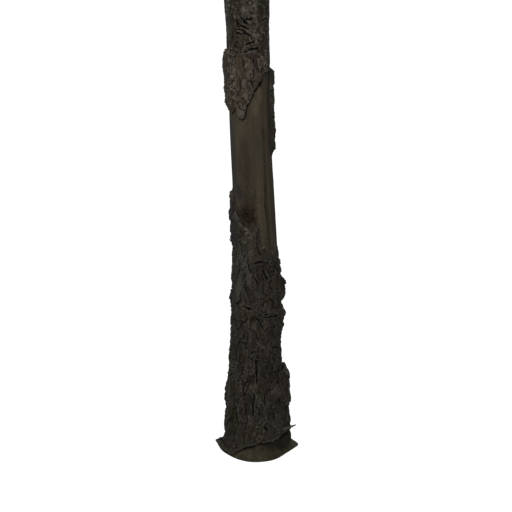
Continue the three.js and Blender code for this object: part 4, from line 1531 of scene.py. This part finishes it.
def chip_mesh(name, length, width, thick, bend):
    """A small curved chip, closed, with a pointed irregular outline."""
    rng = np.random.default_rng(CHIP_SEED)
    bottom = []
    for row, column in product(range(CHIP_ROWS + 1), range(CHIP_COLUMNS + 1)):
        v, u = row / CHIP_ROWS, column / CHIP_COLUMNS - 0.5
        wide = width * (0.35 + 0.65 * math.sin(math.pi * (0.15 + 0.75 * v)))
        x, y = u * wide + rng.uniform(-1, 1) * width * 0.06, (v - 0.3) * length
        bottom.append((x, y, bend * ((v - 0.3) ** 2 * 2 + u * u * 0.6)))
    top = [(x, y, z + thick) for x, y, z in bottom]
    count = len(top)
    number = np.arange(count).reshape(CHIP_ROWS + 1, CHIP_COLUMNS + 1).tolist()
    faces = []
    for row, column in product(range(CHIP_ROWS), range(CHIP_COLUMNS)):
        a, b = number[row][column : column + 2]
        d, c = number[row + 1][column : column + 2]
        faces += [(a, b, c, d), (d + count, c + count, b + count, a + count)]
    right, left = [line[-1] for line in number], [line[0] for line in number]
    border = number[0] + right[1:-1] + number[-1][::-1] + left[-2:0:-1]
    faces += [(b, a, a + count, b + count) for a, b in zip(border, border[1:] + border[:1])]
    return plain_object(name, top + bottom, faces)


def tuft_mesh(name, height, blades):
    """A tuft of a few pointed leaves, each a thin closed wedge."""
    rng = np.random.default_rng(5)
    points, faces = [], []
    side = 0.16 * height
    for blade in range(blades):
        angle = TURN * blade / blades + rng.uniform(-0.4, 0.4)
        lean = rng.uniform(0.3, 1.0)
        tall = height * rng.uniform(0.6, 1.0)
        x, y = math.cos(angle), math.sin(angle)
        base = len(points)
        points += [(out_x * side, out_y * side, -0.1 * tall) for out_x, out_y in ((-y, x), (y, -x), (x, y))]
        points.append((x * lean * tall, y * lean * tall, tall))
        corners = ((0, 2, 3), (2, 1, 3), (1, 0, 3), (0, 1, 2))
        faces += [tuple(base + corner for corner in face) for face in corners]
    return plain_object(name, points, faces)


def scatter_tree(name, mark, tilt):
    """Geometry Nodes that scatter a small shape over a piece, thickest where a mark is high."""
    tree = bpy.data.node_groups.new(name, "GeometryNodeTree")
    for label, kind in SCATTER_INPUTS:
        tree.interface.new_socket(label, in_out="INPUT", socket_type=kind)
    tree.interface.new_socket("Geometry", in_out="OUTPUT", socket_type="NodeSocketGeometry")
    nodes = Nodes(tree)
    add = nodes.node
    geometry = add("NodeGroupInput")
    given = {label: geometry.sibling(label) for label, _ in SCATTER_INPUTS}
    seed = {"Seed": given["Seed"]}
    weight = add("GeometryNodeInputNamedAttribute", {"data_type": "FLOAT"}, {"Name": mark}, "Attribute")
    spots = add("GeometryNodeDistributePointsOnFaces", {"distribute_method": "RANDOM"},
                {"Mesh": geometry, "Density": weight * given["Density"], **seed}, "Points")
    spin = add("FunctionNodeRandomValue", {"data_type": "FLOAT_VECTOR"},
               {0: (-tilt, -tilt, -math.pi), 1: (tilt, tilt, math.pi), **seed})
    turned = add("FunctionNodeRotateRotation", {"rotation_space": "LOCAL"},
                 {"Rotation": spots.sibling("Rotation"),
                  "Rotate By": add("FunctionNodeEulerToRotation", {}, {0: spin})})
    size = add("FunctionNodeRandomValue", {"data_type": "FLOAT"},
               {2: given["Smallest"], 3: given["Largest"], **seed}, 1)
    shape = add("GeometryNodeObjectInfo", {}, {"Object": given["Shape"]}, "Geometry")
    placed = add("GeometryNodeInstanceOnPoints", {},
                 {"Points": spots, "Instance": shape, "Rotation": turned, "Scale": size})
    real = add("GeometryNodeRealizeInstances", {}, {"Geometry": placed})
    finished = add("GeometryNodeSetMaterial", {}, {"Geometry": real, "Material": given["Finish"]})
    add("NodeGroupOutput", {}, {0: finished})
    return tree


def scatter(name, host, shape, mark, density, sizes, seed, material, tilt):
    """Scatters a shape over one piece, as a plain mesh of bark."""
    bpy.context.collection.objects.link(shape)
    carrier = bpy.data.objects.new(name + "_carrier", host.data)
    bpy.context.collection.objects.link(carrier)
    tree = scatter_tree(name + "_nodes", mark, tilt)
    modifier = carrier.modifiers.new(name, "NODES")
    modifier.node_group = tree
    values = {
        "Shape": shape, "Density": density, "Smallest": sizes[0], "Largest": sizes[1],
        "Seed": seed, "Finish": material,
    }
    for item in tree.interface.items_tree:
        if item.in_out == "INPUT" and item.name in values:
            modifier[item.identifier] = values[item.name]
    graph = bpy.context.evaluated_depsgraph_get()
    mesh = bpy.data.meshes.new_from_object(carrier.evaluated_get(graph), depsgraph=graph)
    mesh.name = name
    carrier.modifiers.remove(modifier)
    bpy.data.objects.remove(carrier)
    bpy.data.objects.remove(shape)
    bpy.data.node_groups.remove(tree)
    if not mesh.polygons:
        raise RuntimeError(f"{name}: nothing was scattered")
    coordinates = np.empty(len(mesh.vertices) * 3, np.float32)
    mesh.vertices.foreach_get("co", coordinates)
    if coordinates[2::3].min() < 0:
        coordinates[2::3] = np.maximum(coordinates[2::3], GROUND_CLEARANCE)
        mesh.vertices.foreach_set("co", coordinates)
    mesh.materials.clear()
    mesh.materials.append(material)
    piece = bpy.data.objects.new(name, mesh)
    bpy.context.collection.objects.link(piece)
    settle(piece, "thick_bark")


# ---- Settings, operators and panel ----


def colour_setting(name, description, default):
    return FloatVectorProperty(
        name=name, description=description, subtype="COLOR", size=3, default=default, min=0, max=1)


class TrunkSettings(PropertyGroup):
    wood_colour: colour_setting("Wood", "Base colour of the bare wood", (0.129, 0.1015, 0.067))
    bark_colour: colour_setting("Bark", "Base colour of the bark's plates", (0.070, 0.058, 0.046))
    upper_bark_colour: colour_setting(
        "Upper bark", "Base colour of the scaly bark higher up", (0.118, 0.093, 0.073))
    thin_bark_colour: colour_setting(
        "Inner bark", "Base colour of the thin inner bark", (0.087, 0.072, 0.054))
    bark_light_colour: colour_setting(
        "Bark, pale", "Colour of the bark's paler layers and torn rims", (0.092, 0.078, 0.064))
    chip_density: FloatProperty(
        name="Chips", description="Loose chips on each square metre of bark", default=420.0, min=0)
    chip_size: FloatProperty(
        name="Chip length", description="Length of the largest loose chip", default=0.022,
        unit="LENGTH", min=0.002)
    moss_density: FloatProperty(
        name="Moss", description="Moss tufts on each square metre of full moss", default=30000.0, min=0)
    seed: IntProperty(name="Seed", description="Seed of the scattered pieces", default=3, min=0)
    camera_distance: FloatProperty(
        name="Camera distance", description="From the trunk's axis to the camera", default=3.8,
        unit="LENGTH")
    camera_height: FloatProperty(
        name="Camera height", description="Height of the camera above the ground", default=2.238,
        unit="LENGTH")
    camera_pitch: FloatProperty(
        name="Camera pitch", description="How far the camera looks down", default=math.radians(15.88),
        subtype="ANGLE")
    key_power: FloatProperty(
        name="Key light", description="Power of the large soft light", default=46.0, unit="POWER")
    sky_strength: FloatProperty(
        name="Surrounding light", description="Strength of the even light from all sides", default=0.2)


CHIP_HOSTS = (
    "lower_bark_front", "lower_bark_left", "lower_bark_right", "lower_bark_back_right",
    "lower_bark_back_left", "upper_bark_front", "upper_bark_left", "upper_bark_back",
)
MOSS_HOSTS = ("lower_bark_left", "lower_bark_front", "lower_bark_back_left")


def piece_called(name):
    found = bpy.data.objects.get(name)
    if found is None:
        raise RuntimeError(f"{name} isn't built yet")
    return found


class DEADTRUNK_OT_wood(Operator):
    """Build the bare wood with its root flare and snapped top, and its knots"""

    bl_idname = "deadtrunk.wood"
    bl_label = "Bare Wood"

    def execute(self, context):
        build_wood(wood_material(context.scene.dead_trunk))
        knot_wood = bark_material("knot_wood", (0.046, 0.029, 0.020), (0.066, 0.044, 0.032), 0.5)
        for knot in KNOTS:
            build_sheet(knot_sheet(knot), knot_wood)
        return {"FINISHED"}


class DEADTRUNK_OT_bark(Operator):
    """Build the thick bark, its loose plates and the upper bark"""

    bl_idname = "deadtrunk.bark"
    bl_label = "Thick Bark"

    def execute(self, context):
        settings = context.scene.dead_trunk
        lower = bark_material("thick_bark", settings.bark_colour, settings.bark_light_colour)
        light = shade(settings.bark_light_colour, 1.5)
        upper = bark_material("upper_bark", settings.upper_bark_colour, light, 1.7, 0.013, 0.45, 60.0)
        for sheet in (*lower_bark(), *loose_plates(), left_flap()):
            build_sheet(sheet, lower)
        for sheet in upper_bark():
            build_sheet(sheet, lower if sheet.name == "bark_strip" else upper)
        return {"FINISHED"}


class DEADTRUNK_OT_inner_bark(Operator):
    """Build the thin inner bark"""

    bl_idname = "deadtrunk.inner_bark"
    bl_label = "Inner Bark"

    def execute(self, context):
        settings = context.scene.dead_trunk
        light = shade(settings.bark_light_colour, 1.4)
        thin = bark_material("inner_bark", settings.thin_bark_colour, light, 1.35, 0.003, 1.0, 70.0)
        for sheet in inner_bark():
            build_sheet(sheet, thin)
        return {"FINISHED"}


def splinter_sheet():
    """A splinter of bark, thickest near its left end, whose tip leans away from the trunk."""

    def outline(phi, z):
        share = np.clip((np.degrees(phi) - 44) / 34, 0, 1)
        middle = 0.143 - 0.006 * share
        half = np.interp(share, [0, 0.25, 0.6, 1], [0.004, 0.010, 0.008, 0.001])
        side = np.minimum(turn_from(phi, 43), -turn_from(phi, 79)) * BARK_RADIUS
        return np.minimum(half - np.abs(z - middle), side) + torn(phi, z, 660, 0.0015, 0.0015)

    def lean(phi, z, inside):
        return 0.014 + 0.048 * np.clip((np.degrees(phi) - 50) / 28, 0, 1) ** 1.7

    def cover(phi, z, inside):
        height = 0.0055 + 0.001 * fractal(phi, z, 0.01, 671, 3) + lean(phi, z, inside)
        return height, {"edge": 0.35, "tone": 0.5, "hue": 0.7}

    return Sheet(
        "foot_splinter", ("bark_foot_splinter",), "thick_bark", (40, 84, 0.10, 0.17), None, outline,
        cover, lean, 2, 0.001, 0.0024,
    )


class DEADTRUNK_OT_splinters(Operator):
    """Build the splinter of bark that stands out at the foot"""

    bl_idname = "deadtrunk.splinters"
    bl_label = "Foot Splinter"

    def execute(self, context):
        build_sheet(splinter_sheet(), bpy.data.materials["upper_bark"])
        return {"FINISHED"}


class DEADTRUNK_OT_chips(Operator):
    """Scatter loose chips over the bark"""

    bl_idname = "deadtrunk.chips"
    bl_label = "Loose Chips"

    def execute(self, context):
        settings = context.scene.dead_trunk
        length = settings.chip_size
        for number, host in enumerate(CHIP_HOSTS):
            shape = chip_mesh("chip_shape", length, length * 0.55, length * 0.09, length * 0.12)
            piece = piece_called(host)
            scatter("chips_" + host, piece, shape, "tone", settings.chip_density, (0.3, 1.0),
                    settings.seed + number, piece.data.materials[0], 0.10)
        shape = chip_mesh("chip_shape", 0.010, 0.006, 0.0022, 0.002)
        scatter("crumbs_on_wood", piece_called("bare_wood_trunk"), shape, "crumbs", 3200.0,
                (0.3, 0.8), settings.seed + 40, bpy.data.materials["upper_bark"], 0.4)
        return {"FINISHED"}


class DEADTRUNK_OT_moss(Operator):
    """Scatter tufts of moss where moss grows on the bark"""

    bl_idname = "deadtrunk.moss"
    bl_label = "Moss"

    def execute(self, context):
        settings = context.scene.dead_trunk
        material, nodes = new_material("moss")
        noise = nodes.noise(90.0, 3.0, nodes.place())
        colour = nodes.mix(noise.ramp(0.35, 0.65), (0.026, 0.028, 0.009), (0.075, 0.074, 0.026))
        nodes.finish(colour, noise * 0.1 + 0.8, noise, 0.001, 0.3)
        for number, host in enumerate(MOSS_HOSTS):
            shape = tuft_mesh("tuft_shape", 0.0055, 5)
            scatter("moss_" + host, piece_called(host), shape, "moss", settings.moss_density,
                    (0.5, 1.1), settings.seed + 20 + number, material, 0.5)
        return {"FINISHED"}


STAGE_WHITE = 1.06
FLOOR_RADIUS, FLOOR_SIDES = 40.0, 96
# Place, height of the target, size, share of the key light's power, and colour.
LIGHTS = {
    "key": ((-1.2, -4.0, 4.7), 1.3, 1.3, 1.0, (1.0, 0.97, 0.92)),
    "side_fill": ((-3.8, 0.4, 2.4), 1.3, 2.0, 0.11, (0.72, 0.83, 1.0)),
    "back_fill": ((1.6, 4.0, 4.2), 1.4, 2.0, 0.55, (1.0, 0.98, 0.95)),
}


def area_light(name, location, target_height, size, power, colour):
    """A round light that points at the trunk's axis, at the target's height."""
    light = bpy.data.lights.new(name, "AREA")
    light.shape, light.size = "DISK", size
    light.energy, light.color = power, colour
    lamp = bpy.data.objects.new(name, light)
    lamp.location = location
    x, y, z = location
    pitch = math.atan2(target_height - z, math.hypot(x, y))
    lamp.rotation_euler = (math.pi / 2 + pitch, 0, math.atan2(x, -y))
    bpy.context.collection.objects.link(lamp)


class DEADTRUNK_OT_stage(Operator):
    """Build the pale floor, the soft light and the camera"""

    bl_idname = "deadtrunk.stage"
    bl_label = "Stage"

    def execute(self, context):
        settings, scene = context.scene.dead_trunk, context.scene
        scene.view_settings.view_transform = "Standard"
        turns = [TURN * k / FLOOR_SIDES for k in range(FLOOR_SIDES)]
        ring = [(FLOOR_RADIUS * math.cos(turn), FLOOR_RADIUS * math.sin(turn), 0) for turn in turns]
        floor = plain_object("floor", ring, [tuple(range(FLOOR_SIDES))])
        bpy.context.collection.objects.link(floor)
        material, nodes = new_material("pale_floor")
        glow = nodes.node("ShaderNodeEmission", {}, {"Color": (1, 1, 1, 1), "Strength": STAGE_WHITE * 1.15})
        matt = nodes.node("ShaderNodeBsdfDiffuse", {}, {"Color": (0.9, 0.9, 0.9, 1)})
        blend = nodes.node("ShaderNodeMixShader", {}, {0: 0.12, 1: glow, 2: matt})
        nodes.node("ShaderNodeOutputMaterial", {}, {"Surface": blend})
        floor.data.materials.append(material)
        floor.visible_diffuse = False
        floor.visible_glossy = False

        scene.world = bpy.data.worlds.new("surroundings")
        scene.world.use_nodes = True
        nodes = Nodes(scene.world.node_tree)
        seen = nodes.node("ShaderNodeBackground", {}, {"Color": (1, 1, 1, 1), "Strength": STAGE_WHITE})
        sky = {"Color": (0.93, 0.97, 1.0, 1), "Strength": settings.sky_strength}
        lit = nodes.node("ShaderNodeBackground", {}, sky)
        direct = nodes.node("ShaderNodeLightPath", output="Is Camera Ray")
        blend = nodes.node("ShaderNodeMixShader", {}, {0: direct, 1: lit, 2: seen})
        nodes.node("ShaderNodeOutputWorld", {}, {"Surface": blend})
        for name, (location, target_height, size, share, colour) in LIGHTS.items():
            area_light(name, location, target_height, size, settings.key_power * share, colour)

        lens = bpy.data.cameras.new("camera")
        lens.lens, lens.sensor_width, lens.clip_end = 50.0, 36.0, 200
        camera = bpy.data.objects.new("camera", lens)
        camera.location = (0, -settings.camera_distance, settings.camera_height)
        camera.rotation_euler = (math.pi / 2 - settings.camera_pitch, 0, 0)
        bpy.context.collection.objects.link(camera)
        scene.camera = camera
        return {"FINISHED"}


STEPS = (
    DEADTRUNK_OT_wood,
    DEADTRUNK_OT_bark,
    DEADTRUNK_OT_inner_bark,
    DEADTRUNK_OT_splinters,
    DEADTRUNK_OT_chips,
    DEADTRUNK_OT_moss,
    DEADTRUNK_OT_stage,
)


class DEADTRUNK_PT_panel(Panel):
    """Sizes, colours and building steps of the dead trunk"""

    bl_label = "Dead Trunk"
    bl_idname = "DEADTRUNK_PT_panel"
    bl_space_type = "VIEW_3D"
    bl_region_type = "UI"
    bl_category = "Dead Trunk"

    def draw(self, context):
        column = self.layout.column()
        for name in TrunkSettings.__annotations__:
            column.prop(context.scene.dead_trunk, name)
        for step in STEPS:
            column.operator(step.bl_idname)


CLASSES = (TrunkSettings, *STEPS, DEADTRUNK_PT_panel)


def register():
    for entry in CLASSES:
        bpy.utils.register_class(entry)
    bpy.types.Scene.dead_trunk = PointerProperty(type=TrunkSettings)


def unregister():
    del bpy.types.Scene.dead_trunk
    for entry in reversed(CLASSES):
        bpy.utils.unregister_class(entry)


def main():
    register()
    bpy.ops.deadtrunk.wood()
    bpy.ops.deadtrunk.bark()
    bpy.ops.deadtrunk.inner_bark()
    bpy.ops.deadtrunk.splinters()
    bpy.ops.deadtrunk.chips()
    bpy.ops.deadtrunk.moss()
    bpy.ops.deadtrunk.stage()


if __name__ == "__main__":
    main()
